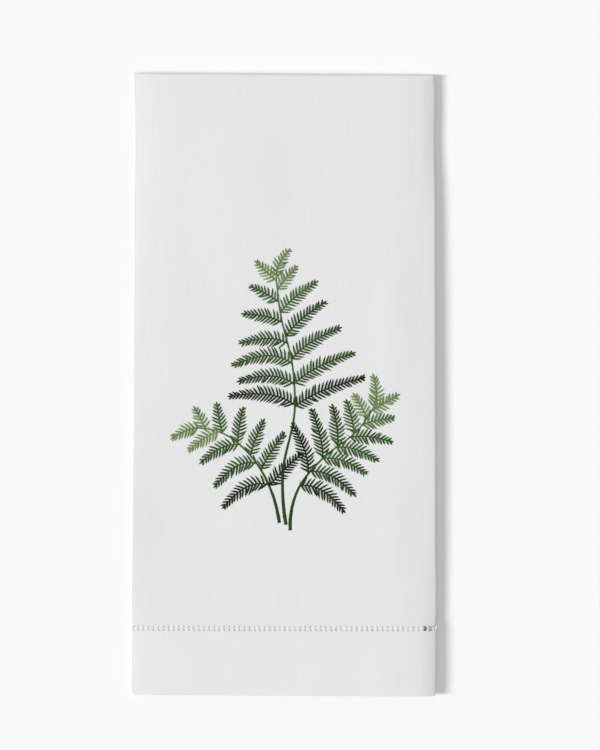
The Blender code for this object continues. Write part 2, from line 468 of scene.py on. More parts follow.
    def shift_outline(self, x: np.ndarray, y: np.ndarray) -> tuple[np.ndarray, np.ndarray]:
        """Move nominal points in plan to the towel's own uneven outline.

        Args:
            x: places across the towel.
            y: places along it.

        Returns:
            The moved x and y.
        """
        down = self.face_length / 2.0 - y
        across = x / self.half_width
        left = side_value(OUTLINE, Side.LEFT, down) * np.minimum(across, 0.0)
        right = side_value(OUTLINE, Side.RIGHT, down) * np.maximum(across, 0.0)
        lean = -self.top_lean * across * ease(1.0 - down / self.top_lean_reach)
        up = self.face_length / 2.0 + y
        bow = self.hem_bow * np.minimum(across, 0.0) ** 2 - self.hem_skew * across
        bow = bow * ease(1.0 - up / self.hem_bow_reach)
        return x + left + right - self.middle_x, y + lean + bow - self.middle_y

    def face_rise(
        self, x: np.ndarray, y: np.ndarray, level: np.ndarray, along: np.ndarray
    ) -> np.ndarray:
        """How far the front half's layers stand over those of a level stack.

        Args:
            x: places across the towel.
            y: places along it.
            level: depths under the top layer.
            along: distances along the flat cloth.

        Returns:
            The rise at each place.
        """
        rise = self.front_height(y) - 2.0 * self.top_radius
        rise = rise + self.swell_height(x, y) + self.crease_height(x, y)
        rise = rise - self.sunk_depth(x, y, level)
        over = ease(1.0 - level / self.first_pitch)
        rise = rise - self.hem_droop * over * ease(1.0 - along / self.hem_droop_reach)
        second = np.interp(level, (0.0, self.first_pitch, 2.0 * self.pitch), (0.0, 1.0, 0.0))
        return rise + self.opening_fill * second * self.at_opening(y)

    def locate(self, across: np.ndarray, along: np.ndarray, lift: np.ndarray) -> np.ndarray:
        """Carry points of the flat cloth to their places in the folded towel.

        Args:
            across: distances from the middle of the panel that shows.
            along: distances from the front hem's edge.
            lift: distances from the middle of the cloth, towards its face side.

        Returns:
            The points' positions, with x, y and z in the last axis.
        """
        across, along, lift = np.broadcast_arrays(across, along, lift)
        x, level, normal_x, normal_depth = self.section(across)
        from_edge = self.from_edge(along)
        gain = 1.0 + self.hem_gain * self.hem_share(from_edge)
        half_thickness = self.thickness(along) / 2.0
        x = x + normal_x * (lift - half_thickness + self.body_thickness / 2.0)
        depth = half_thickness + gain * level + normal_depth * lift

        turn = np.clip((along - self.front_reach) / self.fold_arc, 0.0, 1.0) * math.pi
        below = np.maximum(self.front_reach - along, 0.0)
        below = below + np.maximum(along - self.front_reach - self.fold_arc, 0.0)
        levels = (0.0, self.first_pitch, 2.0 * self.pitch)
        slack = np.interp(level, levels, (0.0, self.second_stagger, self.third_stagger))
        y = self.tangent_y - below
        y = y + slack * ease((self.stagger_start - from_edge) / self.stagger_run)

        radius = (self.top_radius - depth) * self.square_reach(turn, self.fold_squareness)
        in_front = np.cos(np.minimum(turn, math.pi / 2.0)) ** 2
        rise = self.face_rise(x, y, level, along) * in_front
        z = self.top_radius + radius * np.cos(turn) + rise
        x, y = self.shift_outline(x, y + radius * np.sin(turn))
        return np.stack([x, y, np.maximum(z, 0.0)], axis=-1)


@dataclass
class PieceMesh:
    """The mesh of one piece while it is laid out: points, faces, flat coordinates and shades."""

    points: list[np.ndarray] = field(default_factory=list)
    faces: list[np.ndarray] = field(default_factory=list)
    flats: list[np.ndarray] = field(default_factory=list)
    shades: list[np.ndarray] = field(default_factory=list)
    count: int = 0

    def add(
        self, points: np.ndarray, faces: list[np.ndarray], flats: np.ndarray, shades: np.ndarray
    ) -> None:
        """Add a patch of mesh.

        Args:
            points: positions, one row each.
            faces: arrays of faces, each with one number of corners, counted from this patch.
            flats: two flat coordinates for each point, in metres.
            shades: one shade for each point.
        """
        self.points.append(points)
        self.faces.extend(corners + self.count for corners in faces)
        self.flats.append(flats)
        self.shades.append(shades)
        self.count += len(points)

    def to_object(self, name: str, material: bpy.types.Material) -> bpy.types.Object:
        """Make the object, smooth all over, with its flat coordinates and shades.

        Args:
            name: the piece's name.
            material: its finish.

        Returns:
            The object, linked to the scene.
        """
        points = np.concatenate(self.points)
        flats = np.concatenate(self.flats)
        corners = np.concatenate([patch.ravel() for patch in self.faces])
        sizes = np.concatenate([np.full(len(patch), patch.shape[1]) for patch in self.faces])
        mesh = bpy.data.meshes.new(name)
        mesh.vertices.add(len(points))
        mesh.vertices.foreach_set("co", points.astype(np.float32).ravel())
        mesh.loops.add(len(corners))
        mesh.loops.foreach_set("vertex_index", corners.astype(np.int32))
        mesh.polygons.add(len(sizes))
        starts = np.concatenate([[0], np.cumsum(sizes)[:-1]])
        mesh.polygons.foreach_set("loop_start", starts.astype(np.int32))
        mesh.update(calc_edges=True)
        layer = mesh.uv_layers.new(name="flat")
        layer.data.foreach_set("uv", flats[corners].astype(np.float32).ravel())
        shade = mesh.attributes.new("shade", "FLOAT", "POINT")
        shade.data.foreach_set("value", np.concatenate(self.shades).astype(np.float32))
        mesh.shade_smooth()
        mesh.validate()
        mesh.materials.append(material)
        piece = bpy.data.objects.new(name, mesh)
        bpy.context.scene.collection.objects.link(piece)
        return piece


def grid_faces(rows: int, columns: int) -> np.ndarray:
    """Quads of a grid whose columns close on themselves.

    Args:
        rows: number of rings.
        columns: points in each ring.

    Returns:
        One quad in each row of the array.
    """
    row, column = np.meshgrid(np.arange(rows - 1), np.arange(columns), indexing="ij")
    after = (column + 1) % columns
    corners = [row * columns + column, row * columns + after]
    corners += [(row + 1) * columns + after, (row + 1) * columns + column]
    return np.stack(corners, axis=-1).reshape(-1, 4)


def runs_along(path: np.ndarray) -> np.ndarray:
    """The distance of each point of a path from its first, along the path."""
    return np.concatenate([[0.0], np.cumsum(np.linalg.norm(np.diff(path, axis=0), axis=1))])


def points_at(path: np.ndarray, run: np.ndarray, places: np.ndarray) -> np.ndarray:
    """The points of a path in plan at distances along it, its own points' distances given."""
    return np.stack([np.interp(places, run, path[:, axis]) for axis in (0, 1)], axis=-1)


def directions(paths: np.ndarray) -> tuple[np.ndarray, np.ndarray]:
    """The ways that paths in plan run, and the ways to their left.

    Args:
        paths: points in order along the last axis but one.

    Returns:
        The unit tangents and the unit normals, one of each for each point.
    """
    tangent = np.gradient(paths, axis=-2)
    tangent /= np.linalg.norm(tangent, axis=-1, keepdims=True)
    return tangent, np.stack([-tangent[..., 1], tangent[..., 0]], axis=-1)


@dataclass(frozen=True)
class ClothSheet:
    """A sheet of the cloth between two distances along it, with rounded edges."""

    plan: FoldPlan
    start: float
    end: float
    thickness: float
    row_step: float = 0.0040
    column_step: float = 0.0042
    fold_steps: int = 14
    top_fold_steps: int = 28
    shoulder_steps: int = 9
    edge_steps: int = 4
    edge_least: float = 0.0004
    edge_clearance: float = 1.5

    def edge_profile(self, inside: np.ndarray) -> np.ndarray:
        """The share of the full thickness at a distance inside a rounded edge."""
        share = np.clip(inside / (self.thickness / 2.0), 0.0, 1.0)
        return np.sqrt(np.maximum(1.0 - (1.0 - share) ** 2, self.edge_least))

    def rounded(self, low: float, high: float, between: np.ndarray) -> np.ndarray:
        """Stations from one rounded edge to the other.

        Args:
            low: the first edge.
            high: the last edge.
            between: the stations wanted between the edges.

        Returns:
            The stations in order, with finer ones round each edge.
        """
        radius = self.thickness / 2.0
        turns = np.linspace(0.0, math.pi / 2.0, self.edge_steps + 1)
        rim = radius * (1.0 - np.cos(turns))
        clear = self.edge_clearance * radius
        inner = between[(between > low + clear) & (between < high - clear)]
        return np.concatenate([low + rim, inner, (high - rim)[::-1]])

    def stations(self, spans: tuple[tuple[float, float, int], ...], step: float) -> np.ndarray:
        """Stations over a row of spans.

        Args:
            spans: each span's start, end and number of stations, or 0 to use the step.
            step: the distance between stations where a span gives no number.

        Returns:
            The stations, with each span's start and without its end.
        """
        stations = []
        for low, high, steps in spans:
            count = steps or max(1, round((high - low) / step))
            stations.append(np.linspace(low, high, count, endpoint=False))
        return np.concatenate(stations)

    def columns(self) -> np.ndarray:
        """Distances across the flat cloth, finer at the folds and beside them.

        Returns:
            The distances in order.
        """
        plan = self.plan
        left_end = plan.left_x - math.pi * plan.left_radius
        right_end = plan.right_x + math.pi * plan.right_radius
        shoulder = plan.tight_shoulder
        spans = (
            (plan.left_edge, left_end - shoulder, 0),
            (left_end - shoulder, left_end, self.shoulder_steps),
            (left_end, plan.left_x, self.fold_steps),
            (plan.left_x, plan.left_x + shoulder, self.shoulder_steps),
            (plan.left_x + shoulder, plan.right_x - shoulder, 0),
            (plan.right_x - shoulder, plan.right_x, self.shoulder_steps),
            (plan.right_x, right_end, self.fold_steps),
            (right_end, plan.right_edge, 0),
        )
        between = self.stations(spans, self.column_step)
        return self.rounded(plan.left_edge, plan.right_edge, between)

    def rows(self) -> np.ndarray:
        """Distances along the flat cloth, finer round the top fold where the sheet crosses it.

        Returns:
            The distances in order.
        """
        fold_start = self.plan.front_reach
        fold_end = self.plan.front_reach + self.plan.fold_arc
        if self.start < fold_start < self.end:
            spans = (
                (self.start, fold_start, 0),
                (fold_start, fold_end, self.top_fold_steps),
                (fold_end, self.end, 0),
            )
            between = self.stations(spans, self.row_step)
        else:
            count = max(2, round((self.end - self.start) / self.row_step))
            between = np.linspace(self.start, self.end, count)
        return self.rounded(self.start, self.end, between)

    def build(self, name: str, material: bpy.types.Material) -> bpy.types.Object:
        """Build the sheet as one closed mesh.

        Args:
            name: the piece's name.
            material: its finish.

        Returns:
            The object.
        """
        plan = self.plan
        columns = self.columns()
        rows = self.rows()
        side_inside = np.minimum(columns - plan.left_edge, plan.right_edge - columns)
        end_inside = np.minimum(rows - self.start, self.end - rows)
        profile = self.edge_profile(side_inside)[None, :] * self.edge_profile(end_inside)[:, None]
        lift = profile * self.thickness / 2.0
        across = np.concatenate([columns, columns[::-1]])[None, :]
        lifts = np.concatenate([lift, -lift[:, ::-1]], axis=1)
        points = plan.locate(across, rows[:, None], lifts)
        row_count, ring = points.shape[:2]
        flats = np.stack(np.broadcast_arrays(across - plan.left_edge, rows[:, None]), axis=-1)
        half = np.arange(len(columns) - 1)
        cap = np.stack([half, half + 1, ring - 2 - half, ring - 1 - half], axis=-1)
        piece = PieceMesh()
        faces = [grid_faces(row_count, ring), cap[:, ::-1], cap + (row_count - 1) * ring]
        # Painted shade: the cloth's colour is darker along the turn of the left fold, which faces
        # the lamps.
        shades = np.broadcast_to(1.0 - plan.painted_fold_shade(across), (row_count, ring))
        piece.add(points.reshape(-1, 3), faces, flats.reshape(-1, 2), shades.ravel())
        return piece.to_object(name, material)


@dataclass
class Sewing:
    """Strands of thread laid on the flat cloth and carried into the folds with it."""

    plan: FoldPlan
    sides: int = 6
    piece: PieceMesh = field(default_factory=PieceMesh)

    def lay(
        self,
        paths: np.ndarray,
        width: np.ndarray,
        height: np.ndarray,
        shade: np.ndarray,
        upright: tuple[float, float, float] = (0.0, 0.0, 1.0),
    ) -> None:
        """Lay a batch of strands, each a tube along its own path.

        Args:
            paths: strands by path points by across, along and lift.
            width: the half width of each strand at each path point.
            height: its half height there.
            shade: one shade for each strand.
            upright: the direction that each tube's height is measured in.
        """
        strands, steps = paths.shape[:2]
        tangent = np.gradient(paths, axis=1)
        tangent /= np.linalg.norm(tangent, axis=-1, keepdims=True)
        side = np.cross(np.broadcast_to(np.array(upright), tangent.shape), tangent)
        side /= np.linalg.norm(side, axis=-1, keepdims=True)
        up = np.cross(tangent, side)
        turns = np.arange(self.sides) * 2.0 * math.pi / self.sides
        ring = side[:, :, None] * (np.cos(turns)[:, None] * width[:, :, None, None])
        ring = ring + up[:, :, None] * (np.sin(turns)[:, None] * height[:, :, None, None])
        flat = paths[:, :, None] + ring
        points = self.plan.locate(flat[..., 0], flat[..., 1], flat[..., 2])

        run = np.linalg.norm(np.diff(paths, axis=1), axis=-1)
        run = np.concatenate([np.zeros((strands, 1)), np.cumsum(run, axis=1)], axis=1)
        around = turns * np.mean(width)
        flats = np.stack(np.broadcast_arrays(run[:, :, None], around), axis=-1)
        shades = np.broadcast_to(shade[:, None, None], flats.shape[:3])

        starts = np.arange(strands) * steps * self.sides
        quads = grid_faces(steps, self.sides)[None] + starts[:, None, None]
        cap = np.arange(self.sides)
        last = cap + (steps - 1) * self.sides
        faces = [quads.reshape(-1, 4), cap[::-1] + starts[:, None], last + starts[:, None]]
        self.piece.add(points.reshape(-1, 3), faces, flats.reshape(-1, 2), shades.ravel())

    def lay_even(
        self, across: np.ndarray, along: np.ndarray, lift: np.ndarray, radius: float,
        shade: np.ndarray, flatness: float = 1.0,
        upright: tuple[float, float, float] = (0.0, 0.0, 1.0),
    ) -> None:
        """Lay a batch of strands that are as thick from end to end.

        Args:
            across: the path points' distances across the cloth, strands by points.
            along: their distances along it.
            lift: their lifts from its middle.
            radius: the strands' half width.
            shade: one shade for each strand.
            flatness: their height as a share of their width.
            upright: the direction that the height is measured in.
        """
        paths = np.stack(np.broadcast_arrays(across, along, lift), axis=-1)
        width = np.full(paths.shape[:2], radius)
        self.lay(paths, width, width * flatness, shade, upright)

    def build(self, name: str, material: bpy.types.Material) -> bpy.types.Object:
        """Make the object of all the strands laid so far."""
        return self.piece.to_object(name, material)


@dataclass(frozen=True)
class LadderStitch:
    """The drawn-thread ladder at one end: bundled threads, tied at both edges of the opening."""

    plan: FoldPlan
    end: FoldEnd
    pitch: float = 0.002894
    first_offset: float = 0.00014
    sides: int = 5
    seed: int = 11

    threads: int = 8
    thread_radius: float = 0.00014
    heights: tuple[float, ...] = (-1.5, -1.05, -0.6, 0.0, 0.6, 1.05, 1.5)
    pinch: float = 0.00047
    spread: float = 0.00056
    bow: float = 0.00034
    root: float = 0.0010
    root_dip: float = 0.0007
    stack: float = 0.00016
    stack_turn: float = 2.4
    lean_scatter: float = 0.00010
    bow_scatter: float = 0.28
    width_scatter: float = 0.10
    thread_scatter: float = 0.00003
    thread_shades: tuple[float, float] = (0.3, 1.0)

    tie_radius: float = 0.00013
    tie_steps: int = 11
    tie_overlap: float = 0.1
    tie_slant: float = 0.00006
    tie_height: float = 2.8
    tie_scatter: float = 0.00004
    tie_shades: tuple[float, float] = (0.7, 1.0)
    wraps: int = 2
    wrap_step: float = 0.00022
    wrap_start: float = 0.00012

    slant_steps: int = 6
    slant_share: float = 0.46
    slant_depth: float = 0.00085
    slant_scatter: float = 0.00008
    slant_tuck: float = 0.1
    slant_start: float = 0.0001
    slant_rise: float = 1.6
    slant_sink: float = 0.8
    slant_flatness: float = 0.8

    def along(self, from_edge: np.ndarray) -> np.ndarray:
        """The distance along the cloth of a place given from this end's hem edge."""
        return from_edge if self.end is FoldEnd.FRONT else self.plan.cloth_length - from_edge

    def bundle_middles(self) -> np.ndarray:
        """Where each bundle stands across the cloth.

        Returns:
            The distances of the bundles' middles, from edge to edge.
        """
        low = self.plan.left_edge + self.pitch / 2.0 - self.first_offset
        high = self.plan.right_edge - self.pitch / 2.0 - self.first_offset
        numbers = np.arange(math.ceil(low / self.pitch), math.floor(high / self.pitch) + 1)
        return numbers * self.pitch + self.first_offset

    def lay_bundles(self, sewing: Sewing, rng: np.random.Generator) -> None:
        """Lay the threads of every bundle across the opening.

        Args:
            sewing: where the strands go.
            rng: the source of the small differences between bundles.
        """
        middles = self.bundle_middles()
        count = len(middles)
        heights = np.array(self.heights)
        low, high = self.plan.opening_low, self.plan.opening_high
        from_edge = (low + high) / 2.0 + np.clip(heights, -1.0, 1.0) * ((high - low) / 2.0)
        from_edge += np.sign(heights) * np.maximum(np.abs(heights) - 1.0, 0.0) * 2.0 * self.root
        inside = np.clip(1.0 - heights**2, 0.0, 1.0)
        outside = np.clip(np.abs(heights) - 1.0, 0.0, 1.0)
        half_width = self.pinch + (self.spread - self.pinch) * inside + self.root * outside
        lean = rng.normal(0.0, self.lean_scatter, count)
        bows = self.bow * rng.normal(1.0, self.bow_scatter, count)
        widths = rng.normal(1.0, self.width_scatter, count)
        for thread in range(self.threads):
            place = 2.0 * thread / (self.threads - 1) - 1.0
            across = middles[:, None] + place * half_width * widths[:, None]
            across = across + bows[:, None] * inside + lean[:, None] * heights
            across = across + rng.normal(0.0, self.thread_scatter, (count, 1))
            lift = self.stack * math.cos(self.stack_turn * thread) - self.root_dip * outside**2
            shade = rng.uniform(*self.thread_shades, count)
            sewing.lay_even(across, self.along(from_edge), lift, self.thread_radius, shade)

    def lay_ties(self, sewing: Sewing, rng: np.random.Generator) -> None:
        """Tie each bundle at both edges, with a slanting stitch into the cloth beside it.

        Args:
            sewing: where the strands go.
            rng: the source of the small differences between ties.
        """
        middles = self.bundle_middles()
        count = len(middles)
        turns = np.linspace(-self.tie_overlap, 2.0 * math.pi + self.tie_overlap, self.tie_steps)
        wide = self.pinch + self.thread_radius + self.tie_radius
        across = middles[:, None] + wide * np.cos(turns)
        lift = (self.thread_radius * self.tie_height + self.tie_radius) * np.sin(turns)
        for edge, outward in ((self.plan.opening_low, -1.0), (self.plan.opening_high, 1.0)):
            for wrap in range(self.wraps):
                from_edge = edge + outward * (self.wrap_step * wrap - self.wrap_start)
                from_edge = from_edge + rng.normal(0.0, self.tie_scatter, (count, 1))
                along = self.along(from_edge + self.tie_slant * turns / math.pi)
                shade = rng.uniform(*self.tie_shades, count)
                sewing.lay_even(
                    across, along, lift, self.tie_radius, shade, upright=(0.0, 1.0, 0.0)
                )
            self.lay_slants(sewing, rng, edge, outward)

    def lay_slants(
        self, sewing: Sewing, rng: np.random.Generator, edge: float, outward: float
    ) -> None:
        """Lay the slanting stitches that run from each tie into the cloth.

        Args:
            sewing: where the strands go.
            rng: the source of the small differences between stitches.
            edge: the edge of the opening, from the hem's edge.
            outward: 1 for the edge towards the body and -1 for the hem's.
        """
        middles = self.bundle_middles()
        count = len(middles)
        share = np.linspace(0.0, 1.0, self.slant_steps)
        surface = self.plan.thickness(np.array(self.along(edge))) / 2.0
        reach = self.pitch * self.slant_share + rng.normal(0.0, self.slant_scatter, (count, 1))
        across = middles[:, None] - self.pinch - reach * (share - self.slant_tuck)
        out = self.slant_depth + rng.normal(0.0, self.slant_scatter, (count, 1))
        along = self.along(edge + outward * (out * share - self.slant_start))
        arch = self.slant_rise * np.sin(math.pi * share) - self.slant_sink
        shade = rng.uniform(*self.tie_shades, count)
        sewing.lay_even(
            across, along, surface + self.tie_radius * arch, self.tie_radius, shade,
            flatness=self.slant_flatness,
        )

    def build(self, name: str, material: bpy.types.Material) -> bpy.types.Object:
        """Build the whole ladder as one piece.

        Args:
            name: the piece's name.
            material: its finish.

        Returns:
            The object.
        """
        rng = np.random.default_rng(self.seed)
        sewing = Sewing(self.plan, sides=self.sides)
        self.lay_bundles(sewing, rng)
        self.lay_ties(sewing, rng)
        return sewing.build(name, material)


@dataclass(frozen=True)
class StemPoint:
    """A place that a stem passes through, from the towel's middle line and up from its hem."""

    across: float
    up: float


@dataclass(frozen=True)
class LeafletRow:
    """The leaflets on one side of a stem, from its first, lowest one to its last.

    The stem's shares say where the first and the last leave it. The reach, the opening in
    degrees from the stem, and the arch, which is how far a leaflet turns away from the stem
    over its length, are each given at even steps from the first leaflet to the last.
    """

    count: int
    first: float
    last: float
    reach: tuple[float, ...]
    opening: tuple[float, ...]
    arch: tuple[float, ...]


@dataclass(frozen=True)
class Frond:
    """One embroidered frond: its stem, its rows of leaflets and the leaflet at its tip."""

    name: str
    stem: tuple[StemPoint, ...]
    left: LeafletRow
    right: LeafletRow
    tip_reach: float
    tip_turn: float
    seed: int


FRONDS: tuple[Frond, ...] = (
    Frond(
        name="middle",
        stem=(
            StemPoint(across=0.0014, up=0.0980),
            StemPoint(across=-0.0004, up=0.1260),
            StemPoint(across=0.0064, up=0.1640),
            StemPoint(across=0.0052, up=0.1880),
            StemPoint(across=-0.0020, up=0.2200),
            StemPoint(across=-0.0042, up=0.2390),
        ),
        left=LeafletRow(
            count=7, first=0.480, last=0.986, reach=(0.0395, 0.0340, 0.0225, 0.0145),
            opening=(50.0, 40.0, 47.0, 42.0), arch=(48.0, 66.0, 26.0, 0.0),
        ),
        right=LeafletRow(
            count=6, first=0.475, last=0.950, reach=(0.0415, 0.0325, 0.0180),
            opening=(49.0, 45.0, 38.0), arch=(24.0, 32.0, 16.0),
        ),
        tip_reach=0.0175, tip_turn=-44.0, seed=21,
    ),
    Frond(
        name="left",
        stem=(
            StemPoint(across=-0.0024, up=0.0990),
            StemPoint(across=-0.0082, up=0.1200),
            StemPoint(across=-0.0205, up=0.1390),
            StemPoint(across=-0.0350, up=0.1500),
            StemPoint(across=-0.0485, up=0.1530),
        ),
        left=LeafletRow(
            count=4, first=0.290, last=0.850, reach=(0.0300, 0.0265, 0.0215),
            opening=(46.0, 34.0, 30.0), arch=(70.0, 60.0, 32.0),
        ),
        right=LeafletRow(
            count=6, first=0.285, last=0.960, reach=(0.0255, 0.0215, 0.0130),
            opening=(61.0, 50.0, 54.0), arch=(8.0, 16.0, 0.0),
        ),
        tip_reach=0.0165, tip_turn=36.0, seed=22,
    ),
    Frond(
        name="right",
        stem=(
            StemPoint(across=0.0038, up=0.0948),
            StemPoint(across=0.0088, up=0.1190),
            StemPoint(across=0.0220, up=0.1355),
            StemPoint(across=0.0425, up=0.1525),
            StemPoint(across=0.0505, up=0.1640),
        ),
        left=LeafletRow(
            count=5, first=0.395, last=0.930, reach=(0.0300, 0.0235, 0.0145),
            opening=(38.0, 50.0, 58.0), arch=(30.0, 20.0, 2.0),
        ),
        right=LeafletRow(
            count=7, first=0.300, last=0.985, reach=(0.0305, 0.0248, 0.0160),
            opening=(50.0, 24.0, 25.0), arch=(62.0, 42.0, 6.0),
        ),
        tip_reach=0.0190, tip_turn=44.0, seed=23,
    ),
)


@dataclass(frozen=True)
class SatinStitch:
    """Slanting satin stitches laid side by side, which cover a stem."""

    surface: float
    strand: float
    step: float = 0.00036
    slant: float = 38.0
    slant_run: float = 0.003
    points: int = 6
    rise: float = 0.00032
    tuck: float = 0.00005
    end_share: float = 0.7
    middle_gain: float = 0.3
    flatness: float = 0.9
    width_scatter: float = 0.05
    tone_scatter: float = 0.03

    def lay(
        self, sewing: Sewing, path: np.ndarray, width: np.ndarray, shade: np.ndarray,
        rng: np.random.Generator,
    ) -> None:
        """Cover a stem.

        Args:
            sewing: where the strands go.
            path: the stem's points.
            width: its width at each point.
            shade: its shade at each point.
            rng: the source of the small differences between stitches.
        """
        run = runs_along(path)
        places = np.arange(0.0, run[-1], self.step)
        centre = points_at(path, run, places)
        tangent, normal = directions(centre)
        scatter = rng.normal(1.0, self.width_scatter, len(places))
        wide = np.interp(places, run, width) * scatter
        steps = np.linspace(-0.5, 0.5, self.points)
        slope = ease(places / self.slant_run) / math.tan(math.radians(self.slant))
        sideways = normal[:, None] * (wide[:, None, None] * steps[:, None])
        onward = tangent[:, None] * ((wide * slope)[:, None, None] * steps[:, None])
        flat = centre[:, None] + sideways + onward
        bulge = np.cos(math.pi * steps)
        lift = self.surface + self.rise * bulge * np.ones((len(places), 1)) - self.tuck
        paths = np.concatenate([flat, lift[..., None]], axis=-1)
        thick = np.full(lift.shape, self.strand) * (self.end_share + self.middle_gain * bulge)
        tone = np.interp(places, run, shade) + rng.normal(0.0, self.tone_scatter, len(places))
        sewing.lay(paths, thick, thick * self.flatness, tone)


@dataclass(frozen=True)
class StemStitch:
    """Stem stitch along a leaflet's rib, each stitch overlapping the one before."""

    surface: float
    strand: float
    step: float = 0.0011
    stitch: float = 0.0027
    slant: float = 0.00022
    points: int = 6
    least_reach: float = 0.0001
    sink: float = 0.0001
    rise: float = 0.0003
    weight: float = 1.15
    end_share: float = 0.6
    middle_gain: float = 0.4
    flatness: float = 0.9
    tone_scatter: float = 0.03

    def lay(
        self, sewing: Sewing, path: np.ndarray, shade: float, rng: np.random.Generator
    ) -> None:
        """Stitch a rib.

        Args:
            sewing: where the strands go.
            path: the rib's points.
            shade: its shade.
            rng: the source of the small differences between stitches.
        """
        run = runs_along(path)
        places = np.arange(0.0, run[-1], self.step)
        steps = np.linspace(-0.5, 0.5, self.points)
        reach = places[:, None] + steps * self.stitch
        reach = np.clip(reach, 0.0, run[-1] - self.least_reach) + steps * self.least_reach
        centre = points_at(path, run, reach)
        normal = directions(centre)[1]
        flat = centre + normal * (steps * 2.0 * self.slant)[:, None]
        bulge = np.cos(math.pi * steps)
        lift = self.surface + self.sink + self.rise * bulge * np.ones((len(places), 1))
        paths = np.concatenate([flat, lift[..., None]], axis=-1)
        thick = np.full(lift.shape, self.strand * self.weight)
        thick = thick * (self.end_share + self.middle_gain * bulge)
        tone = shade + rng.normal(0.0, self.tone_scatter, len(places))
        sewing.lay(paths, thick, thick * self.flatness, tone)


@dataclass(frozen=True)
class BarbStitch:
    """The barbs of a leaflet, each a few strands side by side and drawn together at the tip."""

    surface: float
    strand: float
    strands: int = 3
    points: int = 6
    spacing: float = 0.0020
    stagger: float = 0.35
    start: float = 0.0010
    last_inset: float = 0.0006
    heading_reach: float = 0.0004

    length: float = 0.0066
    root_share: float = 0.84
    middle_gain: float = 0.16
    middle_rate: float = 1.5
    short_share: float = 0.78
    long_gain: float = 0.22
    long_rib: float = 0.034
    taper: float = 0.48
    taper_power: float = 2.6
    outer_loss: float = 0.13
    length_scatter: float = 0.06
    strand_scatter: float = 0.02

    angle: float = 68.0
    closing: float = 18.0
    closing_power: float = 1.5
    angle_scatter: float = 3.5
    bend: float = 17.0

    spread: float = 1.36
    narrowing: float = 0.35
    sink: float = 0.00010
    rise: float = 0.00020
    rise_rate: float = 1.15
    dip: float = 0.00026
    thinning: float = 0.25
    flatness: float = 0.85

    tone_rate: float = 1.8
    barb_tone_scatter: float = 0.06
    strand_tone_scatter: float = 0.03

    @property
    def steps(self) -> np.ndarray:
        """Shares of a strand's length at its points."""
        return np.linspace(0.0, 1.0, self.points)

    def lay(
        self, sewing: Sewing, path: np.ndarray, shades: tuple[float, float],
        rng: np.random.Generator,
    ) -> None:
        """Lay the barbs on both sides of a rib and the one at its tip.

        Args:
            sewing: where the strands go.
            path: the rib's points.
            shades: the barbs' shade at the stem and at the tip.
            rng: the source of the small differences between barbs.
        """
        run = runs_along(path)
        length = run[-1]
        low, high = shades
        paths, tones = [], []
        for side, stagger in ((-1.0, 0.0), (1.0, self.stagger)):
            for place in np.arange(self.start + stagger * self.spacing, length, self.spacing):
                paths.append(self.barb(path, run, place, side, rng))
                tone = low + (high - low) * ease(np.array(place / length * self.tone_rate))
                tone = tone + rng.normal(0.0, self.barb_tone_scatter)
                tones.append(tone + rng.normal(0.0, self.strand_tone_scatter, self.strands))
        paths.append(self.barb(path, run, length - self.last_inset, 0.0, rng))
        tones.append(np.full(self.strands, high))
        laid = np.concatenate(paths)
        thick = self.strand * (1.0 - self.thinning * self.steps**3)
        width = np.broadcast_to(thick, laid.shape[:2])
        sewing.lay(laid, width, width * self.flatness, np.concatenate(tones))

    def full_length(self, share: float, rib: float) -> float:
        """The mean length of a barb.

        Args:
            share: its place along the rib, from 0 at the stem to 1 at the tip.
            rib: the rib's length.

        Returns:
            The length.
        """
        full = math.sin(math.pi * min(1.0, share * self.middle_rate))
        full = self.length * (self.root_share + self.middle_gain * full)
        full *= self.short_share + self.long_gain * min(1.0, rib / self.long_rib)
        return full * (1.0 - self.taper * share**self.taper_power)

    def barb(
        self, path: np.ndarray, run: np.ndarray, place: float, side: float,
        rng: np.random.Generator,
    ) -> np.ndarray:
        """One barb's strands.

        Args:
            path: the rib's points.
            run: the distance of each of them along the rib.
            place: where the barb leaves the rib.
            side: 1 for its left side, -1 for its right and 0 for straight on.
            rng: the source of the small differences between barbs.

        Returns:
            The strands' paths.
        """
        steps = self.steps
        share = place / run[-1]
        near = place + np.array([-self.heading_reach, 0.0, self.heading_reach])
        behind, start, ahead = points_at(path, run, near)
        heading = math.atan2(*(ahead - behind)[::-1])
        length = self.full_length(share, run[-1]) * rng.normal(1.0, self.length_scatter)
        closing = self.closing * share**self.closing_power
        opening = math.radians(self.angle - closing + rng.normal(0.0, self.angle_scatter))
        first = heading + side * opening
        bend = -side * math.radians(self.bend)
        angle = first + bend * steps
        chord = first + bend * steps / 2.0
        direction = np.stack([np.cos(chord), np.sin(chord)], axis=-1)
        normal = np.stack([-np.sin(angle), np.cos(angle)], axis=-1)
        arch = np.sin(math.pi * np.minimum(steps * self.rise_rate, 1.0))
        lift = self.surface + self.sink + self.rise * arch - self.dip * steps**4
        strands = []
        for offset in np.linspace(-1.0, 1.0, self.strands):
            reach = length * (1.0 - self.outer_loss * abs(offset))
            reach = reach * rng.normal(1.0, self.strand_scatter)
            spread = offset * self.spread * self.strand * (1.0 - self.narrowing * steps**2)
            flat = start + direction * (reach * steps)[:, None] + normal * spread[:, None]
            strands.append(np.concatenate([flat, lift[:, None]], axis=-1))
        return np.stack(strands)


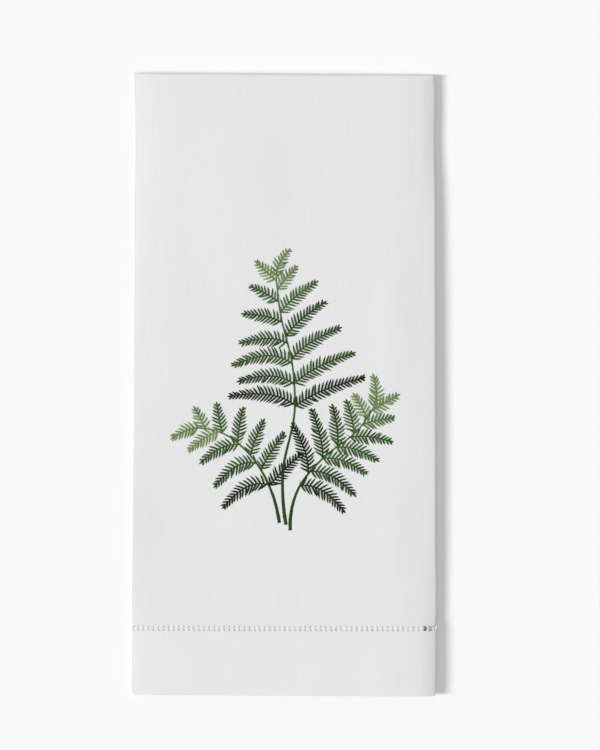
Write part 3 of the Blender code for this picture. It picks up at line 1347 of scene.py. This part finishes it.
@dataclass(frozen=True)
class FernStitch:
    """How the fronds are stitched: satin stems, stem-stitched ribs and barbs of three strands."""

    plan: FoldPlan
    sides: int = 6
    strand: float = 0.00023
    stem_steps: int = 160
    stem_width: float = 0.00060
    foot_width: float = 0.00200
    foot_taper: float = 2.4
    foot_tone: float = 0.24
    stem_gain: float = 0.42
    stem_gain_power: float = 1.5
    rib_step: float = 0.0005
    rib_steps_least: int = 6
    heading_reach: float = 0.01
    tip_heading_start: float = 0.97

    low_tone: float = 0.03
    second_rise: float = 0.26
    second_rate: float = 4.0
    steady_rise: float = 0.10
    late_rise: float = 0.40
    late_start: float = 0.70
    late_run: float = 0.32
    barb_gain: float = 0.12
    tip_tone: float = 0.74
    tip_barb_tone: float = 0.86

    place_scatter: float = 0.002
    opening_scatter: float = 1.3
    arch_scatter: float = 2.0
    length_scatter: float = 0.04
    tone_scatter: float = 0.05
    rib_tone_scatter: float = 0.10

    @property
    def surface(self) -> float:
        """The lift of the cloth's face."""
        return self.plan.body_thickness / 2.0

    def stem_path(self, frond: Frond, shares: np.ndarray) -> np.ndarray:
        """Points of a frond's stem, on a smooth curve through the places that it passes.

        Args:
            frond: the frond.
            shares: places along the stem, from 0 at the foot to 1 at the tip.

        Returns:
            The points, across and along.
        """
        knots = np.array([(place.across, place.up) for place in frond.stem])
        spans = np.linalg.norm(np.diff(knots, axis=0), axis=1)
        runs = runs_along(knots)
        slopes = np.gradient(knots, runs, axis=0, edge_order=2)
        place = np.clip(shares, 0.0, 1.0) * runs[-1]
        lower = np.clip(np.searchsorted(runs, place) - 1, 0, len(spans) - 1)
        t = ((place - runs[lower]) / spans[lower])[:, None]
        span = spans[lower][:, None]
        ends = (1.0 - ease(t)) * knots[lower] + ease(t) * knots[lower + 1]
        turn = t * (1.0 - t) * span * ((1.0 - t) * slopes[lower] - t * slopes[lower + 1])
        return ends + turn

    def rib_path(
        self, start: np.ndarray, heading: float, turn: float, length: float
    ) -> np.ndarray:
        """Points of a leaflet's rib, on a curve that turns most where it leaves the stem.

        Args:
            start: where it leaves the stem.
            heading: its first direction, in radians.
            turn: how far it turns over its length.
            length: its length.

        Returns:
            The points, across and along, about a rib step apart.
        """
        count = max(self.rib_steps_least, round(length / self.rib_step))
        middle = (np.arange(count) + 0.5) / count
        angles = heading + turn * middle * (2.0 - middle)
        steps = np.stack([np.cos(angles), np.sin(angles)], axis=-1) * length / count
        return np.concatenate([start[None], start + np.cumsum(steps, axis=0)])

    def leaflet_tone(self, progress: float) -> float:
        """The mean shade of a leaflet, which is dark low on the stem and light at its tip.

        Args:
            progress: its place in the row, from 0 at the lowest to 1 at the last.

        Returns:
            The shade.
        """
        tone = self.low_tone
        tone += self.second_rise * float(ease(np.array(progress * self.second_rate)))
        tone += self.steady_rise * progress
        late = (progress - self.late_start) / self.late_run
        return tone + self.late_rise * float(ease(np.array(late)))

    def lay_leaflet(
        self, sewing: Sewing, rib: np.ndarray, tones: tuple[float, float, float],
        rng: np.random.Generator,
    ) -> None:
        """Lay one leaflet, a rib with its barbs.

        Args:
            sewing: where the strands go.
            rib: the rib's points.
            tones: the rib's shade and the barbs' shades at the stem and at the tip.
            rng: the source of the small differences between stitches.
        """
        rib_tone, near_tone, far_tone = tones
        StemStitch(self.surface, self.strand).lay(sewing, rib, rib_tone, rng)
        BarbStitch(self.surface, self.strand).lay(sewing, rib, (near_tone, far_tone), rng)

    def side_leaflet(
        self, sewing: Sewing, frond: Frond, row: LeafletRow, side: float, progress: float,
        rng: np.random.Generator,
    ) -> None:
        """Lay one leaflet at the side of a stem.

        Args:
            sewing: where the strands go.
            frond: the frond that it belongs to.
            row: its row.
            side: 1 for the stem's left side and -1 for its right.
            progress: its place in the row, from 0 at the lowest to 1 at the last.
            rng: the source of the small differences between leaflets.
        """
        share = row.first + (row.last - row.first) * progress
        share = share + rng.normal(0.0, self.place_scatter)
        places = (share - self.heading_reach, share, share + self.heading_reach)
        before, start, after = self.stem_path(frond, np.array(places))
        heading = math.atan2(*(after - before)[::-1])
        length, opening, arch = (
            np.interp(progress, np.linspace(0.0, 1.0, len(column)), column)
            for column in (row.reach, row.opening, row.arch)
        )
        opening = opening + rng.normal(0.0, self.opening_scatter)
        first = heading + side * math.radians(opening)
        turn = side * math.radians(arch + rng.normal(0.0, self.arch_scatter))
        length = length * rng.normal(1.0, self.length_scatter)
        rib = self.rib_path(start, first, turn, length)
        tone = self.leaflet_tone(progress) + rng.normal(0.0, self.tone_scatter)
        rib_tone = tone + rng.uniform(-self.rib_tone_scatter, self.rib_tone_scatter)
        self.lay_leaflet(sewing, rib, (rib_tone, tone + self.barb_gain, tone), rng)

    def build(self, frond: Frond, material: bpy.types.Material) -> bpy.types.Object:
        """Stitch one frond.

        Args:
            frond: its drawing.
            material: its finish.

        Returns:
            The object.
        """
        rng = np.random.default_rng(frond.seed)
        sewing = Sewing(self.plan, sides=self.sides)
        shares = np.linspace(0.0, 1.0, self.stem_steps)
        widening = (self.foot_width - self.stem_width) * (1.0 - shares) ** self.foot_taper
        tone = self.foot_tone + self.stem_gain * shares**self.stem_gain_power
        stem = self.stem_path(frond, shares)
        satin = SatinStitch(self.surface, self.strand)
        satin.lay(sewing, stem, self.stem_width + widening, tone, rng)
        for side, row in ((1.0, frond.left), (-1.0, frond.right)):
            for progress in np.linspace(0.0, 1.0, row.count):
                self.side_leaflet(sewing, frond, row, side, progress, rng)
        before, tip = self.stem_path(frond, np.array([self.tip_heading_start, 1.0]))
        heading = math.atan2(*(tip - before)[::-1])
        rib = self.rib_path(tip, heading, math.radians(frond.tip_turn), frond.tip_reach)
        self.lay_leaflet(sewing, rib, (self.tip_tone, self.tip_tone, self.tip_barb_tone), rng)
        return sewing.build(f"embroidery_{frond.name}_frond", material)


def grey(level: float) -> tuple[float, float, float]:
    """A neutral colour of one level."""
    return (level, level, level)


def set_inputs(node: bpy.types.Node, values: dict[str, float]) -> None:
    """Set a node's own input sockets by name."""
    for label, value in values.items():
        node.inputs[label].default_value = value


def new_group(
    name: str, inputs: dict[str, float], outputs: tuple[str, ...]
) -> bpy.types.NodeTree:
    """Make an empty shader group with named sockets.

    Args:
        name: the group's name.
        inputs: each input's name and default value.
        outputs: the outputs' names.

    Returns:
        The group, with its input and output nodes in it.
    """
    group = bpy.data.node_groups.new(name, "ShaderNodeTree")
    for label, value in inputs.items():
        socket = group.interface.new_socket(label, in_out="INPUT", socket_type="NodeSocketFloat")
        socket.default_value = value
    for label in outputs:
        group.interface.new_socket(label, in_out="OUTPUT", socket_type="NodeSocketFloat")
    group.nodes.new("NodeGroupInput").name = "inputs"
    group.nodes.new("NodeGroupOutput").name = "outputs"
    return group


def add_math(tree: bpy.types.NodeTree, kind: str, *values: object) -> bpy.types.NodeSocket:
    """Add a Math node.

    Args:
        tree: where it goes.
        kind: its operation.
        values: its inputs, each a socket or a number.

    Returns:
        Its output.
    """
    node = tree.nodes.new("ShaderNodeMath")
    node.operation = kind
    for index, value in enumerate(values):
        if isinstance(value, bpy.types.NodeSocket):
            tree.links.new(value, node.inputs[index])
        else:
            node.inputs[index].default_value = value
    return node.outputs[0]


def add_noise(
    tree: bpy.types.NodeTree, vector: bpy.types.NodeSocket, scale: float, detail: float
) -> bpy.types.NodeSocket:
    """Add a noise texture.

    Args:
        tree: where it goes.
        vector: the coordinates that it reads.
        scale: how fine it is.
        detail: its number of finer octaves.

    Returns:
        Its output, from 0 to 1.
    """
    noise = tree.nodes.new("ShaderNodeTexNoise")
    set_inputs(noise, {"Scale": scale, "Detail": detail})
    tree.links.new(vector, noise.inputs["Vector"])
    return noise.outputs["Fac"]


def flat_coordinates(
    tree: bpy.types.NodeTree,
) -> tuple[bpy.types.NodeSocket, bpy.types.NodeSocket, bpy.types.NodeSocket]:
    """Read a piece's flat coordinates in a shader.

    Args:
        tree: where the nodes go.

    Returns:
        The coordinates together, and the first and the second alone.
    """
    flat = tree.nodes.new("ShaderNodeUVMap")
    flat.uv_map = "flat"
    split = tree.nodes.new("ShaderNodeSeparateXYZ")
    tree.links.new(flat.outputs["UV"], split.inputs[0])
    return flat.outputs["UV"], split.outputs["X"], split.outputs["Y"]


def weave_group() -> bpy.types.NodeTree:
    """Plain weave on the cloth's flat coordinates: yarn height and painted shade in its hollows.

    Returns:
        The group.
    """
    group = new_group("plain_weave", {"Yarns": 2000.0, "Uneven": 0.25}, ("Height", "Hollow Shade"))
    inputs, outputs = group.nodes["inputs"], group.nodes["outputs"]
    flat, *axes = flat_coordinates(group)
    wobble = add_noise(group, flat, scale=90.0, detail=2.0)
    drift = add_math(group, "MULTIPLY", wobble, inputs.outputs["Uneven"])
    waves = []
    for axis in axes:
        count = add_math(group, "MULTIPLY", axis, inputs.outputs["Yarns"])
        yarn = add_math(group, "ADD", count, drift)
        waves.append(add_math(group, "SINE", add_math(group, "MULTIPLY", yarn, math.pi)))
    over = add_math(group, "MULTIPLY", *waves)
    raised = []
    for wave, sign in zip(waves, (1.0, -1.0)):
        crown = add_math(group, "ABSOLUTE", wave)
        share = add_math(group, "MULTIPLY_ADD", over, sign / 2.0, 0.5)
        raised.append(add_math(group, "MULTIPLY", crown, share))
    height = add_math(group, "MAXIMUM", *raised)
    group.links.new(height, outputs.inputs["Height"])
    group.links.new(add_math(group, "POWER", height, 0.5), outputs.inputs["Hollow Shade"])
    return group


def slub_group() -> bpy.types.NodeTree:
    """Thick and thin yarns: long faint streaks both ways on the flat coordinates.

    Returns:
        The group.
    """
    group = new_group("slub_streaks", {"Length": 45.0, "Fineness": 1500.0}, ("Streaks",))
    inputs, outputs = group.nodes["inputs"], group.nodes["outputs"]
    _, first, second = flat_coordinates(group)
    streaks = []
    for across, onward, weight in ((first, second, 0.75), (second, first, 0.25)):
        join = group.nodes.new("ShaderNodeCombineXYZ")
        fine = add_math(group, "MULTIPLY", across, inputs.outputs["Fineness"])
        long_way = add_math(group, "MULTIPLY", onward, inputs.outputs["Length"])
        group.links.new(fine, join.inputs["X"])
        group.links.new(long_way, join.inputs["Y"])
        streak = add_noise(group, join.outputs[0], scale=1.0, detail=1.5)
        streaks.append(add_math(group, "MULTIPLY", streak, weight))
    group.links.new(add_math(group, "ADD", *streaks), outputs.inputs["Streaks"])
    return group


def twist_group() -> bpy.types.NodeTree:
    """The twist of a thread, as slanting plies round each strand.

    Returns:
        The group.
    """
    group = new_group("thread_twist", {"Plies": 2600.0, "Slant": 1.4}, ("Height",))
    inputs, outputs = group.nodes["inputs"], group.nodes["outputs"]
    _, onward, around = flat_coordinates(group)
    round_way = add_math(group, "MULTIPLY", around, inputs.outputs["Slant"])
    slanted = add_math(group, "ADD", onward, round_way)
    turns = add_math(group, "MULTIPLY", slanted, inputs.outputs["Plies"])
    plies = add_math(group, "ABSOLUTE", add_math(group, "SINE", turns))
    group.links.new(plies, outputs.inputs["Height"])
    return group


class Finish:
    """Shared steps of the finishes: a new material, groups placed in it, ramps and bumps."""

    @staticmethod
    def start(
        name: str, settings: dict[str, float]
    ) -> tuple[bpy.types.Material, bpy.types.NodeTree, bpy.types.Node]:
        """Make a material.

        Args:
            name: its name.
            settings: the shader's values that are the same all over, by socket.

        Returns:
            The material, its node tree and its shader.
        """
        material = bpy.data.materials.new(name)
        material.use_nodes = True
        shader = material.node_tree.nodes["Principled BSDF"]
        set_inputs(shader, settings)
        return material, material.node_tree, shader

    @staticmethod
    def place(
        tree: bpy.types.NodeTree, group: bpy.types.NodeTree, **values: float
    ) -> bpy.types.Node:
        """Place a group in a material.

        Args:
            tree: the material's nodes.
            group: the group.
            values: the group's inputs by name, where they differ from its own.

        Returns:
            The group's node.
        """
        node = tree.nodes.new("ShaderNodeGroup")
        node.node_tree = group
        set_inputs(node, values)
        return node

    @staticmethod
    def shade(tree: bpy.types.NodeTree) -> bpy.types.NodeSocket:
        """Read the shade that the mesh holds.

        Args:
            tree: the material's nodes.

        Returns:
            The shade.
        """
        node = tree.nodes.new("ShaderNodeAttribute")
        node.attribute_name = "shade"
        return node.outputs["Fac"]

    @staticmethod
    def ramp(
        tree: bpy.types.NodeTree, factor: bpy.types.NodeSocket, stops: tuple
    ) -> bpy.types.NodeSocket:
        """Colour a factor by a ramp.

        Args:
            tree: the material's nodes.
            factor: the factor.
            stops: a place from 0 to 1 and a colour for each stop, in order.

        Returns:
            The colour.
        """
        node = tree.nodes.new("ShaderNodeValToRGB")
        elements = node.color_ramp.elements
        while len(elements) < len(stops):
            elements.new(0.5)
        for element, (place, colour) in zip(elements, stops):
            element.position = place
            element.color = (*colour, 1.0)
        tree.links.new(factor, node.inputs["Fac"])
        return node.outputs["Color"]

    @staticmethod
    def bump(
        tree: bpy.types.NodeTree, height: bpy.types.NodeSocket, distance: float, strength: float
    ) -> bpy.types.NodeSocket:
        """Turn a height into a normal.

        Args:
            tree: the material's nodes.
            height: the height, from 0 to 1.
            distance: the depth that it stands for, in metres.
            strength: how much of it shows.

        Returns:
            The normal.
        """
        node = tree.nodes.new("ShaderNodeBump")
        set_inputs(node, {"Distance": distance, "Strength": strength})
        tree.links.new(height, node.inputs["Height"])
        return node.outputs["Normal"]


@dataclass(frozen=True)
class ClothFinish(Finish):
    """Bleached plain-woven cloth, matt, with faint thick and thin yarns, and painted shade."""

    dark: float = 0.770
    light: float = 0.820
    # Painted shade: the cloth's colour along the turn of the left fold.
    painted_fold_shade: float = 0.580
    roughness: float = 0.92
    sheen: float = 0.08
    specular: float = 0.2
    yarns: float = 2000.0
    # Painted shade: how much the weave's hollows darken the cloth's colour.
    hollow_shade: float = 0.35
    contrast: float = 0.8
    middle_shift: float = 0.125
    slub_height: float = 0.6
    bump_depth: float = 0.00008
    bump_strength: float = 0.55

    def material(
        self, name: str, weave: bpy.types.NodeTree, slub: bpy.types.NodeTree
    ) -> bpy.types.Material:
        """Make the material.

        Args:
            name: its name.
            weave: the plain weave group.
            slub: the streaks group.

        Returns:
            The material.
        """
        material, tree, shader = self.start(name, {
            "Roughness": self.roughness,
            "Sheen Weight": self.sheen,
            "Specular IOR Level": self.specular,
        })
        yarn = self.place(tree, weave, Yarns=self.yarns)
        streaks = self.place(tree, slub).outputs["Streaks"]
        # Painted shade from the weave's hollows, added to the streaks, which are the yarns' own
        # colour.
        tone = add_math(tree, "MULTIPLY_ADD", yarn.outputs["Hollow Shade"], self.hollow_shade, streaks)
        tone = add_math(tree, "MULTIPLY_ADD", tone, self.contrast, self.middle_shift)
        tone = add_math(tree, "MULTIPLY", tone, self.shade(tree))
        # The ramp's lowest stop is the painted shade of the left fold's turn.
        stops = ((0.0, grey(self.painted_fold_shade)), (0.5, grey(self.dark)), (1.0, grey(self.light)))
        tree.links.new(self.ramp(tree, tone, stops), shader.inputs["Base Color"])
        height = yarn.outputs["Height"]
        raised = add_math(tree, "MULTIPLY_ADD", streaks, self.slub_height, height)
        normal = self.bump(tree, raised, self.bump_depth, self.bump_strength)
        tree.links.new(normal, shader.inputs["Normal"])
        return material


@dataclass(frozen=True)
class ThreadFinish(Finish):
    """Twisted thread whose colour runs along a ramp with each strand's own shade."""

    stops: tuple[tuple[float, tuple[float, float, float]], ...]
    roughness: float = 0.6
    sheen: float = 0.15
    specular: float = 0.3
    plies: float = 2600.0
    bump_depth: float = 0.00005
    bump_strength: float = 0.6

    def material(self, name: str, twist: bpy.types.NodeTree) -> bpy.types.Material:
        """Make the material.

        Args:
            name: its name.
            twist: the thread twist group.

        Returns:
            The material.
        """
        material, tree, shader = self.start(name, {
            "Roughness": self.roughness,
            "Sheen Weight": self.sheen,
            "Specular IOR Level": self.specular,
        })
        colour = self.ramp(tree, self.shade(tree), self.stops)
        tree.links.new(colour, shader.inputs["Base Color"])
        ply = self.place(tree, twist, Plies=self.plies)
        normal = self.bump(tree, ply.outputs["Height"], self.bump_depth, self.bump_strength)
        tree.links.new(normal, shader.inputs["Normal"])
        return material


WHITE_THREAD = ThreadFinish(stops=((0.0, grey(0.84)), (1.0, grey(0.90))), roughness=0.75)
GREEN_THREAD = ThreadFinish(
    stops=(
        (0.00, (0.0076, 0.0238, 0.0028)),
        (0.30, (0.0268, 0.0745, 0.0110)),
        (0.55, (0.0655, 0.1470, 0.0300)),
        (1.00, (0.2700, 0.3820, 0.1530)),
    ),
    sheen=0.0,
    specular=0.1,
)


@dataclass(frozen=True)
class FloorFinish(Finish):
    """Smooth white board, very faintly mottled."""

    level: float = 0.945
    roughness: float = 0.8
    specular: float = 0.1
    mottle_scale: float = 40.0
    mottle_share: float = 0.998

    def material(self, name: str) -> bpy.types.Material:
        """Make the material.

        Args:
            name: its name.

        Returns:
            The material.
        """
        material, tree, shader = self.start(name, {
            "Roughness": self.roughness,
            "Specular IOR Level": self.specular,
        })
        mottle = tree.nodes.new("ShaderNodeTexNoise")
        set_inputs(mottle, {"Scale": self.mottle_scale})
        stops = ((0.3, grey(self.level * self.mottle_share)), (0.7, grey(self.level)))
        colour = self.ramp(tree, mottle.outputs["Fac"], stops)
        tree.links.new(colour, shader.inputs["Base Color"])
        return material


@dataclass(frozen=True)
class Lamp:
    """A soft lamp far away: where it stands, how wide it looks and how much it gives the floor.

    The azimuth is counted in degrees from the right of the picture, turning to its top.
    """

    name: str
    azimuth: float
    elevation: float
    width: float
    level: float

    def hang(self) -> None:
        """Add the lamp to the scene."""
        light = bpy.data.lights.new(self.name, "SUN")
        light.energy = self.level / math.sin(math.radians(self.elevation))
        light.angle = math.radians(self.width)
        lamp = bpy.data.objects.new(self.name, light)
        turn = math.radians(self.azimuth - 270.0)
        lamp.rotation_euler = (math.radians(90.0 - self.elevation), 0.0, turn)
        bpy.context.scene.collection.objects.link(lamp)


LAMPS: tuple[Lamp, ...] = (
    Lamp(name="tall_box_low", azimuth=185.0, elevation=34.5, width=9.0, level=0.50),
    Lamp(name="tall_box_middle", azimuth=185.0, elevation=41.0, width=9.0, level=0.50),
    Lamp(name="tall_box_high", azimuth=185.0, elevation=49.0, width=9.0, level=0.50),
    Lamp(name="fill", azimuth=268.0, elevation=70.0, width=24.0, level=0.19),
    Lamp(name="overhead", azimuth=270.0, elevation=86.0, width=30.0, level=0.22),
)


@dataclass(frozen=True)
class Studio:
    """The pale floor, the tall soft light on the left, an even sky and the camera overhead."""

    photo_scale: float = 0.1727 / TOWEL_WIDTH_PX
    towel_middle_px: tuple[float, float] = (284.7, 384.35)
    camera_distance: float = 2.4
    floor_size: float = 6.0
    towel_top: float = 0.0085
    sky_strength: float = 0.3969
    sensor: float = 36.0
    far_clip: float = 20.0

    def lay_floor(self) -> None:
        """Lay the floor that the towel lies on."""
        half = self.floor_size / 2.0
        mesh = bpy.data.meshes.new("floor")
        corners = [(-half, -half, 0.0), (half, -half, 0.0), (half, half, 0.0), (-half, half, 0.0)]
        mesh.from_pydata(corners, [], [(0, 1, 2, 3)])
        mesh.materials.append(FloorFinish().material("white_board"))
        floor = bpy.data.objects.new("floor", mesh)
        bpy.context.scene.collection.objects.link(floor)

    def light(self) -> None:
        """Hang the lamps under an even sky."""
        world = bpy.data.worlds.new("even_sky")
        world.use_nodes = True
        background = world.node_tree.nodes["Background"]
        background.inputs["Color"].default_value = (1.0, 1.0, 1.0, 1.0)
        background.inputs["Strength"].default_value = self.sky_strength
        bpy.context.scene.world = world
        for lamp in LAMPS:
            lamp.hang()

    def aim_camera(self) -> None:
        """Set the long-lensed camera straight above, framed as the photo is."""
        lens = bpy.data.cameras.new("overhead")
        frame_height = PHOTO_HEIGHT_PX * self.photo_scale
        lens.sensor_fit = "AUTO"
        lens.sensor_width = self.sensor
        lens.lens = self.sensor * (self.camera_distance - self.towel_top) / frame_height
        lens.clip_end = self.far_clip
        camera = bpy.data.objects.new("overhead", lens)
        right = (PHOTO_WIDTH_PX / 2.0 - self.towel_middle_px[0]) * self.photo_scale
        up = (self.towel_middle_px[1] - PHOTO_HEIGHT_PX / 2.0) * self.photo_scale
        camera.location = (right, up, self.camera_distance)
        bpy.context.scene.collection.objects.link(camera)
        bpy.context.scene.camera = camera

    def build(self) -> None:
        """Build the floor, the lights and the camera."""
        self.lay_floor()
        self.light()
        self.aim_camera()
        bpy.context.scene.view_settings.view_transform = "Standard"


@dataclass
class HandTowel:
    """The towel: its body, two turned hems, two ladders and three embroidered fronds."""

    plan: FoldPlan
    front_hem_step: float = 0.0010
    back_hem_step: float = 0.0030
    back_threads: int = 5
    hem_dark: float = 0.776
    hem_light: float = 0.826

    def build_cloth(self) -> list[bpy.types.Object]:
        """Build the body and the two hems.

        Returns:
            The body first, then the hems.
        """
        plan = self.plan
        weave, slub = weave_group(), slub_group()
        cloth = ClothFinish().material("white_cloth", weave, slub)
        hem_finish = ClothFinish(dark=self.hem_dark, light=self.hem_light)
        hem_cloth = hem_finish.material("white_hem_cloth", weave, slub)
        length, thick = plan.cloth_length, plan.hem_thickness
        low, high = plan.opening_low, plan.opening_high
        body = ClothSheet(plan, high, length - high, plan.body_thickness)
        front = ClothSheet(plan, 0.0, low, thick, row_step=self.front_hem_step)
        back = ClothSheet(plan, length - low, length, thick, row_step=self.back_hem_step)
        return [
            body.build("towel_body", cloth),
            front.build("front_hem", hem_cloth),
            back.build("back_hem", hem_cloth),
        ]

    def build_ladders(self, white: bpy.types.Material) -> list[bpy.types.Object]:
        """Build the ladder that shows and the one underneath.

        Args:
            white: the thread's finish.

        Returns:
            The two ladders.
        """
        front = LadderStitch(self.plan, FoldEnd.FRONT)
        back = LadderStitch(self.plan, FoldEnd.BACK, threads=self.back_threads)
        return [front.build("front_ladder", white), back.build("back_ladder", white)]

    def build(self) -> list[bpy.types.Object]:
        """Build and dress every piece.

        Returns:
            The pieces.
        """
        cloths = self.build_cloth()
        twist = twist_group()
        ladders = self.build_ladders(WHITE_THREAD.material("white_thread", twist))
        green = GREEN_THREAD.material("green_thread", twist)
        fronds = [FernStitch(self.plan).build(frond, green) for frond in FRONDS]
        for slot, dressed in (
            ("cloth", cloths), ("sewing_thread", ladders), ("embroidery_thread", fronds)
        ):
            for piece in dressed:
                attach(piece, "root")
        body, *others = [*cloths, *ladders, *fronds]
        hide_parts("towel")
        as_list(others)
        return [body, *others]


def centred_plan(columns: int = 400, rows: int = 900) -> FoldPlan:
    """Move the fold plan so that its outline lies on the solid towel's box.

    Args:
        columns: places across the cloth at which the outline is tried.
        rows: places along it.

    Returns:
        The moved plan.
    """
    plan = FoldPlan()
    left = plan.left_x - plan.left_radius * 2.0
    right = plan.right_x + plan.right_radius * 2.0
    across = np.linspace(left, right, columns)
    along = np.linspace(0.0, plan.cloth_length, rows)
    lift = np.array(plan.body_thickness / 2.0)
    outline = plan.locate(across[None, :], along[:, None], lift)
    low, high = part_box("towel")
    middle = (outline.min(axis=(0, 1)) + outline.max(axis=(0, 1))) / 2.0
    return FoldPlan(
        middle_x=middle[0] - (low.x + high.x) / 2.0,
        middle_y=middle[1] - (low.y + high.y) / 2.0,
    )


def main() -> None:
    """Build the studio and the towel, and report each piece."""
    logging.basicConfig(level=logging.INFO, format="%(message)s")
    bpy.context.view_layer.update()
    Studio().build()
    for piece in HandTowel(centred_plan()).build():
        triangles = sum(len(face.vertices) - 2 for face in piece.data.polygons)
        LOG.info("%s: %d triangles", piece.name, triangles)


if __name__ == "__main__":
    main()
